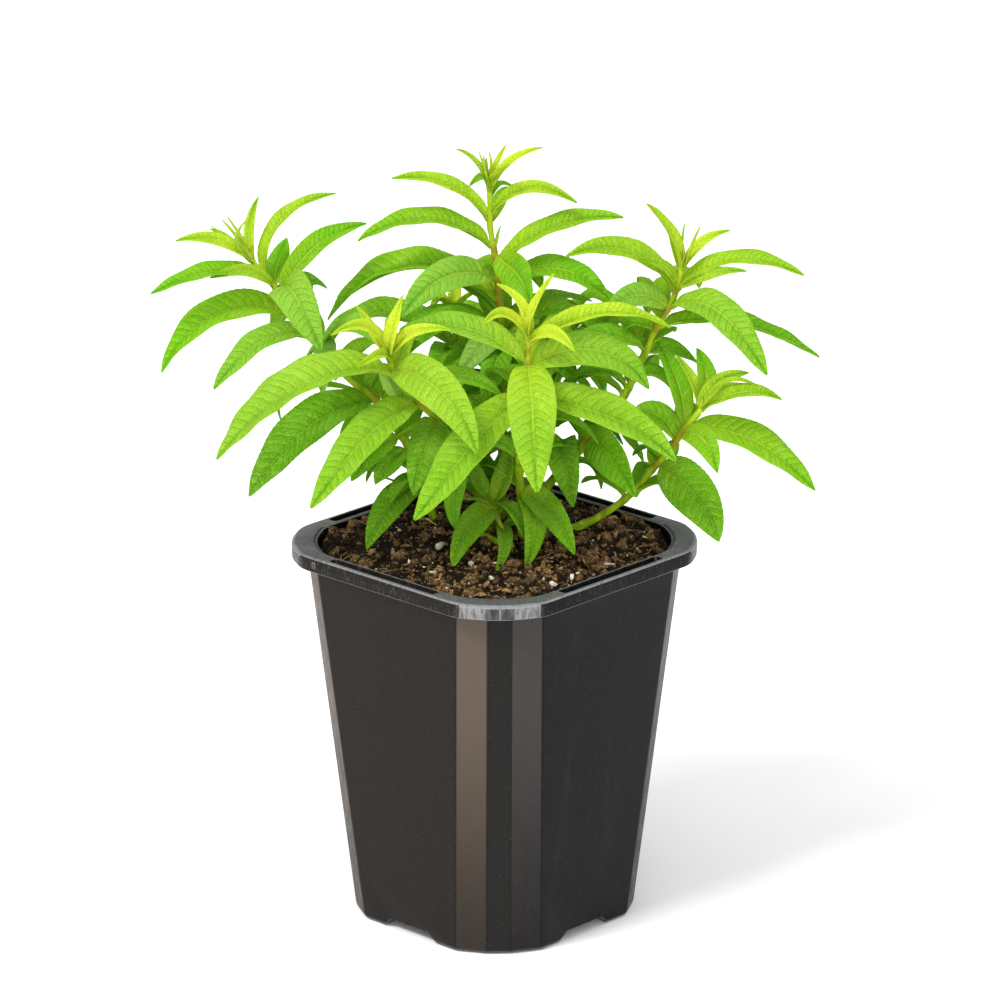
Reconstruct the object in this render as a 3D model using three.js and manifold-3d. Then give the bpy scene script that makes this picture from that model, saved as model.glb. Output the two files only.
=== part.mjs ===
// A young lemon verbena plant in its square nursery pot, in millimetres, +Z up.
// The origin is the middle of the pot's flat underside, where it stands. The pot is turned so that
// its corners point along X and Y. Every stem, leaf and growing tip is a closed solid of its own.
import * as THREE from "three";
import { mergeVertices } from "three/addons/utils/BufferGeometryUtils.js";
import Module from "manifold-3d";

const wasm = await Module();
wasm.setup();

// ---- driving dimensions -------------------------------------------------------------------------

const GAP = 0.3; // clearance between pieces that touch

const POT = {
  height: 128,
  rimHalf: 55, // half the width over the rim, flat to flat
  bodyTopHalf: 51.2, // half the width of the body right under the rim
  bodyBottomHalf: 40.7,
  rimDrop: 5, // height of the rim's outer skirt
  skirtWall: 1.2,
  lipHalf: 49, // half the opening between the rim's inner edges
  wall: 1.3,
  floor: 1.8,
  chamfer: 2.2, // bevel round the foot
};
// A corner is three flat facets: one square to the diagonal, and one on each side turned by 15 degrees.
const CORNER = { mid: 4, side: 10.3, turn: Math.PI / 12 };

const GROOVE = { length: 47, width: 3.4, depth: 3, outer: 53.4 }; // slot along each side of the rim
const CHANNEL = { foot: 24, top: 17, height: 3.4, from: 21, cover: 1.5 }; // drain channel under each side
const DRAIN_HOLE = { radius: 3.6, out: 31 };

const MIX = { edge: 121.5, shoulder: 123.4, mound: 124.6, crown: 125.2 }; // heights of the soil's surface

const STEM_SIDES = 6;
const STEM_STEPS = 16;
const LEAF_THICKNESS = 0.5;
const LEAF_RINGS = [0, 0.07, 0.18, 0.4, 0.62, 0.84, 1]; // where a leaf's sections lie along its midrib
const STALK = { end: 0.07, half: 0.6 }; // the narrow stalk: its share of the length and half its width
const TIP_HALF = 0.25; // half the width at the very tip
const WIDEST = 0.4; // where along its length a leaf is widest
const BLADE_RISE = 0.65; // how bluntly the blade widens from its stalk
const BLADE_FALL = 0.975; // how it narrows to its tip

// Each shoot: its stem's middle line from the soil up, the stem's radius there and at the tip, its big
// leaves and its growing tip's small ones.
// A big leaf: [height on the stem, highest point of its arch, tip, width, fold, roll]
// A small one: the same. Fold is how far each half stands up from flat, and roll is the turn about the
// midrib, both in degrees. A positive roll lifts the edge on the right of the way out along the leaf.
const SHOOTS = {
  tall: {
    stem: [[2, 17, 119], [3, 18, 146], [3, 18, 170], [3, 18, 194], [2, 18, 206], [1, 18, 217],
      [-1, 18, 230], [-1, 18, 239], [-2, 18, 247]],
    radius: [1.6, 0.7],
    leaves: [
      [236, [-14, 16, 244], [-33, 13, 247], 6.5, 40, 45],
      [236, [15, 12, 244], [27, 7, 240], 6, 40, -50],
      [216, [22, 13, 231], [42, 7, 235], 10, 25, -30],
      [222, [-22, 17, 232], [-44, 13, 226], 10.5, 25, 25],
      [219, [8, 1, 217], [11, -19, 215], 12, 15, -45],
      [208, [19, 14, 216], [38, 4, 208], 11, 15, -35],
      [211, [-15, 6, 216], [-30, -3, 205], 12, 15, 45],
      [195, [19, 27, 202], [33, 33, 199], 8.5, 15, -15],
      [204, [-30, 25, 214], [-54, 24, 196], 15, 20, 10],
    ],
    tip: [
      [245, [-8, 14, 254], [-12, 10, 258], 2.6, 50, 50],
      [246, [0, 20, 253], [4, 22, 256], 2.4, 50, 0],
      [240, [6, 14, 253], [16, 10, 258], 4.4, 45, -60],
      [228, [3, 30, 235], [5, 38, 237], 5, 30, 0],
    ],
  },
  left: {
    stem: [[-16, 16, 119], [-23, 13, 141], [-28, 10, 157], [-33, 8, 165], [-38, 7, 173], [-47, 7, 181],
      [-56, 8, 193], [-61, 8, 199], [-67, 8, 205], [-71, 8, 212], [-75, 8, 217], [-79, 8, 222]],
    radius: [1.5, 0.7],
    leaves: [
      [216, [-72, 14, 228], [-51, 17, 241], 6.5, 35, -25],
      [215, [-90, 3, 219], [-111, -1, 213], 8.5, 25, 25],
      [209, [-57, 16, 224], [-41, 23, 229], 9, 25, -25],
      [207, [-62, -8, 217], [-56, -20, 199], 11.5, 15, -25],
      [201, [-80, 7, 206], [-108, 0, 186], 14, 18, 20],
      [194, [-72, -4, 199], [-91, -12, 184], 11.5, 18, 20],
      [174, [-55, -4, 172], [-80, -14, 148], 16, 15, 30],
      [143, [-33, -3, 142], [-42, -15, 130], 11, 18, 25],
    ],
    tip: [
      [221, [-96, 5, 232], [-103, 3, 230], 4.8, 45, 50],
      [221, [-79, 12, 232], [-76, 14, 241], 4, 45, -5],
      [212, [-70, 20, 217], [-67, 28, 223], 7, 20, 0],
    ],
  },
  right: {
    stem: [[8, 13, 119], [15, 14, 137], [28, 12, 154], [42, 11, 172], [49, 10, 187], [52, 9, 195],
      [55, 7, 201], [58, 6, 207], [60, 5, 214], [61, 4, 219]],
    radius: [1.5, 0.7],
    leaves: [
      [211, [39, 3, 226], [23, -3, 225], 9.5, 25, 35],
      [212, [81, 2, 222], [100, -3, 218], 9.5, 22, -25],
      [205, [69, -10, 210], [87, -24, 191], 13, 15, -20],
      [198, [81, 16, 196], [107, 17, 184], 13, 18, -15],
      [204, [47, 3, 210], [36, 1, 206], 9, 15, 60],
      [158, [36, -7, 160], [45, -21, 149], 13.5, 12, -60],
      [149, [21, 1, 160], [24, -16, 145], 10, 15, -10],
    ],
    tip: [
      [217, [57, 2, 232], [49, -1, 242], 4.8, 40, 60],
      [217, [69, 8, 227], [77, 12, 229], 3.6, 45, -35],
    ],
  },
  front_left: {
    stem: [[3, 10, 119], [-3, 6, 139], [-9, 0, 153], [-19, -9, 172], [-25, -13, 179], [-31, -17, 187],
      [-35, -21, 198]],
    radius: [1.5, 0.7],
    leaves: [
      [191, [-53, -29, 194], [-90, -36, 168], 18, 15, 20],
      [192, [-22, -37, 194], [-7, -57, 176], 14.5, 15, -50],
      [179, [-40, -33, 176], [-60, -50, 156], 15.5, 15, 25],
      [172, [-23, -27, 168], [-27, -35, 155], 12, 15, 20],
    ],
    tip: [
      [197, [-40, -19, 206], [-45, -19, 214], 3.8, 40, 45],
      [197, [-33, -25, 209], [-30, -21, 218], 5.4, 35, -50],
      [196, [-47, -31, 211], [-53, -35, 209], 4.4, 40, 60],
      [196, [-25, -27, 208], [-15, -30, 209], 4.4, 40, -60],
      [195, [-40, -33, 201], [-45, -37, 199], 3.4, 35, 50],
    ],
  },
  front: {
    stem: [[9, 4, 119], [9, 0, 136], [8, -6, 153], [9, -14, 170], [10, -22, 184], [10, -28, 196],
      [10, -30, 207]],
    radius: [1.5, 0.7],
    leaves: [
      [203, [32, -25, 212], [56, -20, 206], 9, 35, -25],
      [197, [-18, -20, 208], [-31, -13, 204], 12, 20, 20],
      [195, [10, -42, 196], [12, -57, 163], 17, 12, 0],
      [196, [31, -27, 201], [49, -25, 187], 13, 15, -60],
      [183, [30, -31, 182], [57, -42, 168], 15.5, 12, -60],
      [184, [-2, -34, 178], [-27, -45, 150], 16, 12, 30],
      [146, [17, -17, 144], [25, -31, 133], 10.5, 15, -45],
    ],
    tip: [
      [206, [7, -28, 218], [0, -26, 223], 3.6, 45, 35],
      [206, [13, -34, 220], [18, -35, 229], 4.4, 40, -60],
      [205, [2, -38, 217], [-5, -42, 215], 4.4, 45, 60],
      [204, [18, -45, 213], [24, -53, 209], 5, 35, -60],
    ],
  },
  low_right: {
    stem: [[16, 12, 119], [20, 7, 126], [33, 4, 133], [44, 1, 142], [52, -3, 153], [57, -6, 160],
      [62, -7, 168], [67, -9, 175]],
    radius: [1.5, 0.8],
    leaves: [
      [167, [60, 5, 179], [53, 15, 191], 9, 20, 20],
      [163, [53, -3, 171], [44, -4, 172], 10, 12, 40],
      [168, [78, -8, 166], [104, -13, 148], 13, 15, -30],
      [165, [67, -20, 168], [71, -30, 160], 9, 15, -40],
      [155, [63, -16, 150], [72, -26, 135], 16, 12, -45],
    ],
    tip: [
      [174, [74, -10, 185], [82, -12, 188], 5.8, 35, -60],
      [174, [81, -16, 183], [92, -23, 182], 5.4, 35, -55],
      [173, [79, 4, 178], [87, 8, 176], 4.4, 40, -15],
      [173, [69, 0, 184], [66, 6, 191], 7, 25, 0],
      [174, [64, 0, 184], [60, 2, 190], 3.6, 40, 15],
    ],
  },
  basal: {
    stem: [[1, 5, 119], [2, 2, 130], [-1, -5, 142]],
    radius: [1.1, 0.9],
    leaves: [
      [140, [-8, -12, 137], [-14, -24, 127], 10.5, 15, 40],
    ],
    tip: [
      [141, [3, 0, 148], [5, 4, 157], 8.5, 20, -15],
      [141, [-3, 1, 149], [-4, 9, 154], 6, 25, 15],
    ],
  },
  rear_left: {
    stem: [[-3, 22, 119], [-4, 36, 150], [-10, 44, 175], [-13, 48, 191]],
    radius: [1.4, 0.8],
    leaves: [
      [178, [-34, 52, 190], [-62, 56, 172], 14, 15, 10],
      [177, [-4, 64, 188], [2, 86, 166], 14, 15, 0],
      [160, [-18, 60, 168], [-28, 84, 146], 15, 15, 0],
    ],
    tip: [
      [190, [-20, 46, 199], [-26, 44, 201], 4.4, 40, 40],
      [190, [-12, 54, 200], [-13, 60, 203], 4.4, 40, 0],
    ],
  },
  rear_right: {
    stem: [[12, 24, 119], [16, 38, 149], [23, 45, 171], [28, 49, 185]],
    radius: [1.4, 0.8],
    leaves: [
      [173, [44, 54, 186], [62, 58, 170], 12, 15, -10],
      [174, [22, 66, 186], [17, 88, 164], 14, 15, 0],
      [151, [36, 57, 152], [52, 66, 132], 14, 15, 0],
    ],
    tip: [
      [184, [33, 48, 194], [38, 46, 197], 4.4, 40, -40],
      [184, [29, 56, 194], [31, 62, 195], 4.4, 40, 0],
    ],
  },
};

// ---- materials ----------------------------------------------------------------------------------

const FINISH = {
  pot: { color: 0x343433, roughness: 0.5, metalness: 0 },
  mix: { color: 0x33241a, roughness: 0.95, metalness: 0 },
  stem: { color: 0x7d9a2c, roughness: 0.5, metalness: 0 },
  leaf: { color: 0x62a81c, roughness: 0.5, metalness: 0 },
};

// ---- helpers ------------------------------------------------------------------------------------

const UP = new THREE.Vector3(0, 0, 1);
const vector = ([x, y, z]) => new THREE.Vector3(x, y, z);

// A closed solid skinned over rings of points, capped at both ends by fans from each ring's first point.
function loft(rings) {
  const count = rings[0].length;
  const points = rings.flat().flatMap((p) => [p.x, p.y, p.z]);
  const faces = [];
  for (let r = 0; r + 1 < rings.length; r++) {
    for (let i = 0; i < count; i++) {
      const a = r * count + i;
      const b = r * count + ((i + 1) % count);
      faces.push(a, b, b + count, a, b + count, a + count);
    }
  }
  const last = (rings.length - 1) * count;
  for (let i = 1; i + 1 < count; i++) {
    faces.push(0, i + 1, i);
    faces.push(last, last + i, last + i + 1);
  }
  const geometry = new THREE.BufferGeometry();
  geometry.setAttribute("position", new THREE.Float32BufferAttribute(points, 3));
  geometry.setIndex(faces);
  return geometry;
}

// The solid of a closed geometry, for joining and cutting.
function solidOf(geometry) {
  const bare = geometry.index ? geometry.toNonIndexed() : geometry.clone();
  bare.deleteAttribute("normal");
  bare.deleteAttribute("uv");
  const merged = mergeVertices(bare, 1e-4);
  return new wasm.Manifold(new wasm.Mesh({
    numProp: 3,
    vertProperties: merged.attributes.position.array,
    triVerts: new Uint32Array(merged.index.array),
  }));
}

function geometryOf(solid) {
  const mesh = solid.getMesh();
  const geometry = new THREE.BufferGeometry();
  geometry.setAttribute("position", new THREE.BufferAttribute(mesh.vertProperties, 3));
  geometry.setIndex(new THREE.BufferAttribute(mesh.triVerts, 1));
  return geometry;
}

function piece(name, geometry, finish) {
  geometry.computeVertexNormals();
  const mesh = new THREE.Mesh(geometry, new THREE.MeshStandardMaterial(FINISH[finish]));
  mesh.name = name;
  return mesh;
}

// ---- pot ----------------------------------------------------------------------------------------

// The pot's outline at one height: a square of the given half width with faceted corners, seen from
// above, counter-clockwise from the corner at -Y.
function section(half, z, shrink = 1) {
  const mid = CORNER.mid * shrink;
  const side = CORNER.side * shrink;
  const along = side * Math.cos(CORNER.turn);
  const back = side * Math.sin(CORNER.turn);
  const reach = half * Math.SQRT2 - mid - along + back;
  const corner = [[-mid - along, back - reach], [-mid, -reach], [mid, -reach], [mid + along, back - reach]];
  const ring = [];
  for (let k = 0; k < 4; k++) {
    for (const [x, y] of corner) ring.push(new THREE.Vector3(x, y, z).applyAxisAngle(UP, k * Math.PI / 2));
  }
  return ring;
}

// The same shape on each of the pot's four sides. It is made for a side that faces +X.
function onEachSide(geometry) {
  return [1, 3, 5, 7].map((k) => solidOf(geometry.clone().rotateZ(k * Math.PI / 4)));
}

// A bar with sloping flanks that lies on z = 0 from the channel's inner end out to the given half width.
function channelBar(grow, out) {
  const foot = CHANNEL.foot / 2 + grow;
  const top = CHANNEL.top / 2 + grow;
  const height = CHANNEL.height + grow;
  const shape = new THREE.Shape([
    new THREE.Vector2(-foot, -1), new THREE.Vector2(foot, -1), new THREE.Vector2(foot, 0),
    new THREE.Vector2(top, height), new THREE.Vector2(-top, height), new THREE.Vector2(-foot, 0),
  ]);
  const start = CHANNEL.from - grow;
  const bar = new THREE.ExtrudeGeometry(shape, { depth: out - start, bevelEnabled: false });
  return bar.rotateX(Math.PI / 2).rotateZ(Math.PI / 2).translate(start, 0, 0);
}

function makePot() {
  const under = POT.height - POT.rimDrop;
  const hollow = under + 1.2;
  const profile = [
    [POT.bodyBottomHalf - POT.chamfer * 0.7, 0],
    [POT.bodyBottomHalf, POT.chamfer],
    [POT.bodyTopHalf, hollow],
    [POT.rimHalf - POT.skirtWall, hollow],
    [POT.rimHalf - POT.skirtWall, under],
    [POT.rimHalf - 0.1, under],
    [POT.rimHalf, POT.height - 0.5],
    [POT.rimHalf - 0.5, POT.height],
    [POT.lipHalf + 0.4, POT.height],
    [POT.lipHalf, POT.height - 0.4],
    [POT.lipHalf - 0.4, POT.height - 10],
    [POT.bodyBottomHalf - POT.wall, POT.floor + 1.5],
    [POT.bodyBottomHalf - POT.wall - 1.5, POT.floor],
  ];
  let pot = solidOf(loft(profile.map(([half, z]) => section(half, z))));
  const inside = [section(POT.bodyBottomHalf - POT.wall / 2, 0.01), section(POT.bodyBottomHalf, 20)];
  const keep = solidOf(loft(inside));
  for (const cover of onEachSide(channelBar(CHANNEL.cover, POT.bodyBottomHalf))) {
    pot = pot.add(cover.intersect(keep));
  }
  for (const channel of onEachSide(channelBar(0, POT.rimHalf))) pot = pot.subtract(channel);
  const hole = new THREE.CylinderGeometry(DRAIN_HOLE.radius, DRAIN_HOLE.radius, 10, 16);
  hole.rotateX(Math.PI / 2).translate(DRAIN_HOLE.out, 0, CHANNEL.height);
  for (const drain of onEachSide(hole)) pot = pot.subtract(drain);
  const groove = new THREE.BoxGeometry(GROOVE.width, GROOVE.length, GROOVE.depth * 2);
  groove.translate(GROOVE.outer - GROOVE.width / 2, 0, POT.height);
  for (const slot of onEachSide(groove)) pot = pot.subtract(slot);
  return pot;
}

// ---- stems and leaves ---------------------------------------------------------------------------

// A shoot's middle line, as a smooth curve with its radius by the way along it.
function stemLine({ stem, radius }) {
  const curve = new THREE.CatmullRomCurve3(stem.map(vector), false, "centripetal");
  const thick = (u) => THREE.MathUtils.lerp(radius[0], radius[1], u);
  return { curve, thick };
}

// The way along a rising stem at which it passes the given height, by halving.
function wayAt(curve, z) {
  let low = 0;
  let high = 1;
  for (let i = 0; i < 24; i++) {
    const middle = (low + high) / 2;
    if (curve.getPointAt(middle).z < z) low = middle;
    else high = middle;
  }
  return low;
}

function stemSolid(line, grow = 0) {
  const rings = [];
  for (let i = 0; i <= STEM_STEPS; i++) {
    const u = i / STEM_STEPS;
    const centre = line.curve.getPointAt(u);
    const way = line.curve.getTangentAt(u);
    if (i === 0) centre.addScaledVector(way, -grow);
    const across = new THREE.Vector3(0, 1, 0).cross(way).normalize();
    const over = way.clone().cross(across);
    const ring = [];
    const r = line.thick(u) + grow;
    for (let k = 0; k < STEM_SIDES; k++) {
      const angle = k * 2 * Math.PI / STEM_SIDES;
      const point = centre.clone().addScaledVector(across, r * Math.cos(angle));
      ring.push(point.addScaledVector(over, r * Math.sin(angle)));
    }
    rings.push(ring);
  }
  return solidOf(loft(rings));
}

// The curve of a midrib that leaves its base, passes the highest point of its arch and ends at the tip.
function midrib(base, crest, tip) {
  const rise = base.distanceTo(crest);
  const t = rise / (rise + crest.distanceTo(tip));
  const control = crest.clone()
    .addScaledVector(base, -((1 - t) ** 2))
    .addScaledVector(tip, -(t ** 2))
    .divideScalar(2 * t * (1 - t));
  return new THREE.QuadraticBezierCurve3(base, control, tip);
}

function bladeHalf(width, t) {
  if (t <= STALK.end) return STALK.half;
  const full = ((t / WIDEST) ** BLADE_RISE) * (((1 - t) / (1 - WIDEST)) ** BLADE_FALL);
  return Math.max(width / 2 * full, TIP_HALF);
}

// A thin leaf folded along its midrib, as a closed plate.
function leafSolid(base, [, crest, tip, width, fold, roll]) {
  const rib = midrib(base, vector(crest), vector(tip));
  const out = vector(tip).sub(base).setZ(0).normalize();
  const right = out.cross(UP);
  const rings = [];
  for (const t of LEAF_RINGS) {
    const way = rib.getTangent(t);
    const side = right.clone().addScaledVector(way, -right.dot(way)).normalize();
    side.applyAxisAngle(way, -THREE.MathUtils.degToRad(roll));
    const up = side.clone().cross(way);
    const half = bladeHalf(width, t);
    const angle = THREE.MathUtils.degToRad(fold);
    const at = (across, above) => rib.getPoint(t)
      .addScaledVector(side, across * half * Math.cos(angle))
      .addScaledVector(up, Math.abs(across) * half * Math.sin(angle) - above);
    const low = LEAF_THICKNESS;
    rings.push([at(0, 0), at(1, 0), at(1, low), at(0, low), at(-1, low), at(-1, 0)]);
  }
  return solidOf(loft(rings));
}

// Where a leaf leaves its stem: on the stem's skin plus the clearance, on the side its blade goes to.
function leafBase(line, [z, crest], clearance) {
  const u = wayAt(line.curve, z);
  const centre = line.curve.getPointAt(u);
  const way = line.curve.getTangentAt(u);
  const out = vector(crest).sub(centre);
  out.addScaledVector(way, -out.dot(way)).normalize();
  return centre.addScaledVector(out, clearance === null ? 0 : line.thick(u) + clearance);
}

// A stem with the bud and small leaves of its growing tip, grown together as one piece.
function growingStem(line, tip) {
  let stem = stemSolid(line);
  for (const leaf of tip) stem = stem.add(leafSolid(leafBase(line, leaf, null), leaf));
  return stem;
}

// ---- potting mix --------------------------------------------------------------------------------

function makeMix(sockets) {
  const floorHalf = POT.bodyBottomHalf - POT.wall - GAP;
  const rings = [
    section(floorHalf - 1.5, POT.floor + GAP),
    section(floorHalf, POT.floor + GAP + 1.5),
    section(POT.lipHalf - 0.4 - GAP, POT.height - 10),
    section(POT.lipHalf - 0.4 - GAP, MIX.edge),
    section(POT.lipHalf - 6, MIX.shoulder, 0.9),
    section(POT.lipHalf - 20, MIX.mound, 0.6),
    section(POT.lipHalf - 38, MIX.crown, 0.25),
  ];
  let mix = solidOf(loft(rings));
  for (const cover of onEachSide(channelBar(CHANNEL.cover + GAP, POT.rimHalf))) mix = mix.subtract(cover);
  for (const socket of sockets) mix = mix.subtract(socket);
  return mix;
}

// ---- the plant in its pot -----------------------------------------------------------------------

const plant = new THREE.Group();
plant.add(piece("pot", geometryOf(makePot()), "pot"));

const sockets = [];
for (const [shoot, parts] of Object.entries(SHOOTS)) {
  const line = stemLine(parts);
  sockets.push(stemSolid(line, GAP));
  plant.add(piece(`${shoot}_stem`, geometryOf(growingStem(line, parts.tip)), "stem"));
  parts.leaves.forEach((leaf, i) => {
    const solid = leafSolid(leafBase(line, leaf, GAP), leaf);
    plant.add(piece(`${shoot}_leaf_${i + 1}`, geometryOf(solid), "leaf"));
  });
}
plant.add(piece("potting_mix", geometryOf(makeMix(sockets)), "mix"));

export default plant;
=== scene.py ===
import math
from collections import namedtuple

import bmesh
import bpy
import numpy as np
from mathutils import Matrix, Vector, noise


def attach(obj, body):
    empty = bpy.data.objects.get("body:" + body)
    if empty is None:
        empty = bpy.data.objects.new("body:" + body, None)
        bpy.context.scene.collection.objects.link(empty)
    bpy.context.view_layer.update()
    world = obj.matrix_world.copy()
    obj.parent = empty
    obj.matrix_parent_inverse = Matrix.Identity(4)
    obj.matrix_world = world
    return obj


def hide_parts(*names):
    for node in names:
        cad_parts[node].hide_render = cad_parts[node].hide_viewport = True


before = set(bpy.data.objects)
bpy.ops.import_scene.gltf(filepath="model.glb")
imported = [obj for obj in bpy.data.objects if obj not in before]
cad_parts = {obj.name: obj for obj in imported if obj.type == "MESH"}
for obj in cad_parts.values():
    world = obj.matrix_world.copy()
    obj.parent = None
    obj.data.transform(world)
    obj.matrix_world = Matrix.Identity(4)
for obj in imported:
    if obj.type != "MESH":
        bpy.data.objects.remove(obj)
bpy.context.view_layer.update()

MM = 0.001

# ---- shoots ----
# stem: the middle line's points. radius: at the soil and at the tip.
# leaves: the big ones, in the order of the frame's nodes. small: the growing tip's leaves and other
#   small ones. Both are rows of a Blade: height on the stem, highest point of the arch, tip, width,
#   fold and roll in degrees, age (0 young and yellow to 1 old and dark), tone (above 0 paler) and
#   blunt (how round its base and tip are).
# inner: leaves deeper in the plant: height on the stem, azimuth, length, width and age. Azimuth 0
#   points to the viewer, and 90 to the right.
# twigs: the points and the radius of each side twig. bud: whether needles stand round the tip.
# ruddy: how red the joints are. fade: from which share of its length a stem has no red joints.
# lush: how yellow the stem's upper end is.
Blade = namedtuple("Blade", "height crest tip width fold roll age tone blunt", defaults=(0.0, 0.0))
PLAIN = {"bud": True, "ruddy": 1.0, "fade": 0.93, "lush": 1.0, "twigs": []}
SHOOTS = {}
SHOOTS["tall"] = {
    "fade": 0.78,
    "stem": [(2, 17, 119), (3, 18, 146), (3, 18, 170), (3, 18, 194), (2, 18, 206), (1, 18, 217),
             (-1, 18, 230), (-1, 18, 239), (-2, 18, 247)],
    "radius": (1.6, 0.7),
    "leaves": [
        (230.5, (-15, 16, 244), (-33, 13, 247), 6.8, 40, 45, 0.22),
        (233, (15, 12, 244), (27, 7, 240), 6, 40, -50, 0.27),
        (216, (22, 13, 231), (42, 7, 235), 10, 25, -30, 0.4),
        (222, (-22, 17, 232), (-44, 13, 226), 10.5, 25, 25, 0.5),
        (219, (8, 1, 217), (11, -19, 215), 12, 15, -45, 0.6),
        (208, (19, 14, 216), (38, 4, 208), 11, 15, -35, 0.6),
        (211, (-15, 6, 216), (-30, -3, 205), 12, 15, 45, 0.65, 0.5),
        (195, (19, 27, 202), (33, 33, 199), 8.5, 15, -15, 0.7),
        (204, (-30, 25, 214), (-54, 24, 196), 15, 22, 10, 0.52, 0.1),
    ],
    "small": [
        (244, (-8, 15, 254), (-12, 12, 257), 3, 40, 50, 0.1),
        (244, (-3, 17, 250), (-4.4, 18, 254.6), 1.3, 25, 0, 0.08),
        (244, (-0.6, 17, 250), (-1.4, 17, 255.2), 1.3, 25, 0, 0.08),
        (243, (-2.6, 15, 248.5), (-3.3, 15.6, 253), 1.3, 25, 0, 0.08),
        (240, (7, 14, 253), (16, 10, 258), 4.4, 35, -60, 0.05),
        (244, (3, 10, 251), (5, 4, 254), 3.4, 40, -30, 0.05),
        (229, (3, 30, 235), (5, 38, 237), 6, 30, 0, 0.5),
        (240, (-4, 14, 247), (-8, 10, 245), 3.6, 30, 30, 0.45),
        (238, (3, 20, 243), (7, 22, 241), 3.4, 25, -20, 0.6),
        (244, (2, 19, 251.5), (4.4, 20, 256.2), 2.8, 35, -30, 0.08),
        (212, (-3.4, 15, 217), (-4, 14, 213.5), 2.8, 15, 0, 0.6, 0, 0.6),
        (212, (5, 15, 219), (5.6, 14, 214.5), 2.8, 15, 0, 0.6, 0, 0.6),
        (221, (1.6, 17, 226), (2.4, 16, 230), 1.8, 25, 0, 0.4),
        (197, (-5, 28, 204), (-13, 36, 204), 8.5, 15, 0, 0.9),
        (201, (-25, 33, 211), (-46, 37, 201), 7, 20, 0, 0.8),
        (191, (-4, 6, 192), (-12, 2, 184), 10.5, 12, 25, 0.62, 0.9),
        (186, (2, 6, 190), (-4, -4, 176), 10.5, 15, 10, 0.85),
        (192, (-17, 8, 200), (-31, 3, 187), 10.5, 15, 20, 0.8),
        (154, (-1, 16, 160), (-5, 12, 154), 6.4, 15, 0, 0.95),
    ],
    "inner": [
        (206, 150, 26, 9, 0.6), (205, 205, 40, 11, 0.6), (191, 175, 44, 12, 0.7),
        (190, 80, 40, 12, 0.8), (190, 265, 40, 12, 0.8), (175, 215, 40, 12, 0.85),
        (174, 130, 38, 11, 0.85), (173, 35, 34, 11, 0.9), (172, 310, 34, 10, 0.9),
        (158, 175, 34, 10, 0.9), (157, 265, 30, 9, 0.95), (156, 60, 28, 9, 0.95),
        (141, 130, 26, 8, 0.95), (140, 220, 26, 8, 0.95), (190, 20, 26, 11, 0.8),
        (183, 290, 26, 11, 0.85), (170, 300, 26, 11, 0.9), (178, 80, 30, 11, 0.85),
        (172, 95, 36, 13, 0.8), (162, 80, 30, 12, 0.85), (168, 155, 40, 14, 0.85),
        (167, 200, 40, 14, 0.85), (159, 135, 36, 13, 0.9), (160, 230, 36, 13, 0.9),
        (182, 150, 38, 13, 0.75), (183, 200, 38, 13, 0.75),
    ],
}
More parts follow.
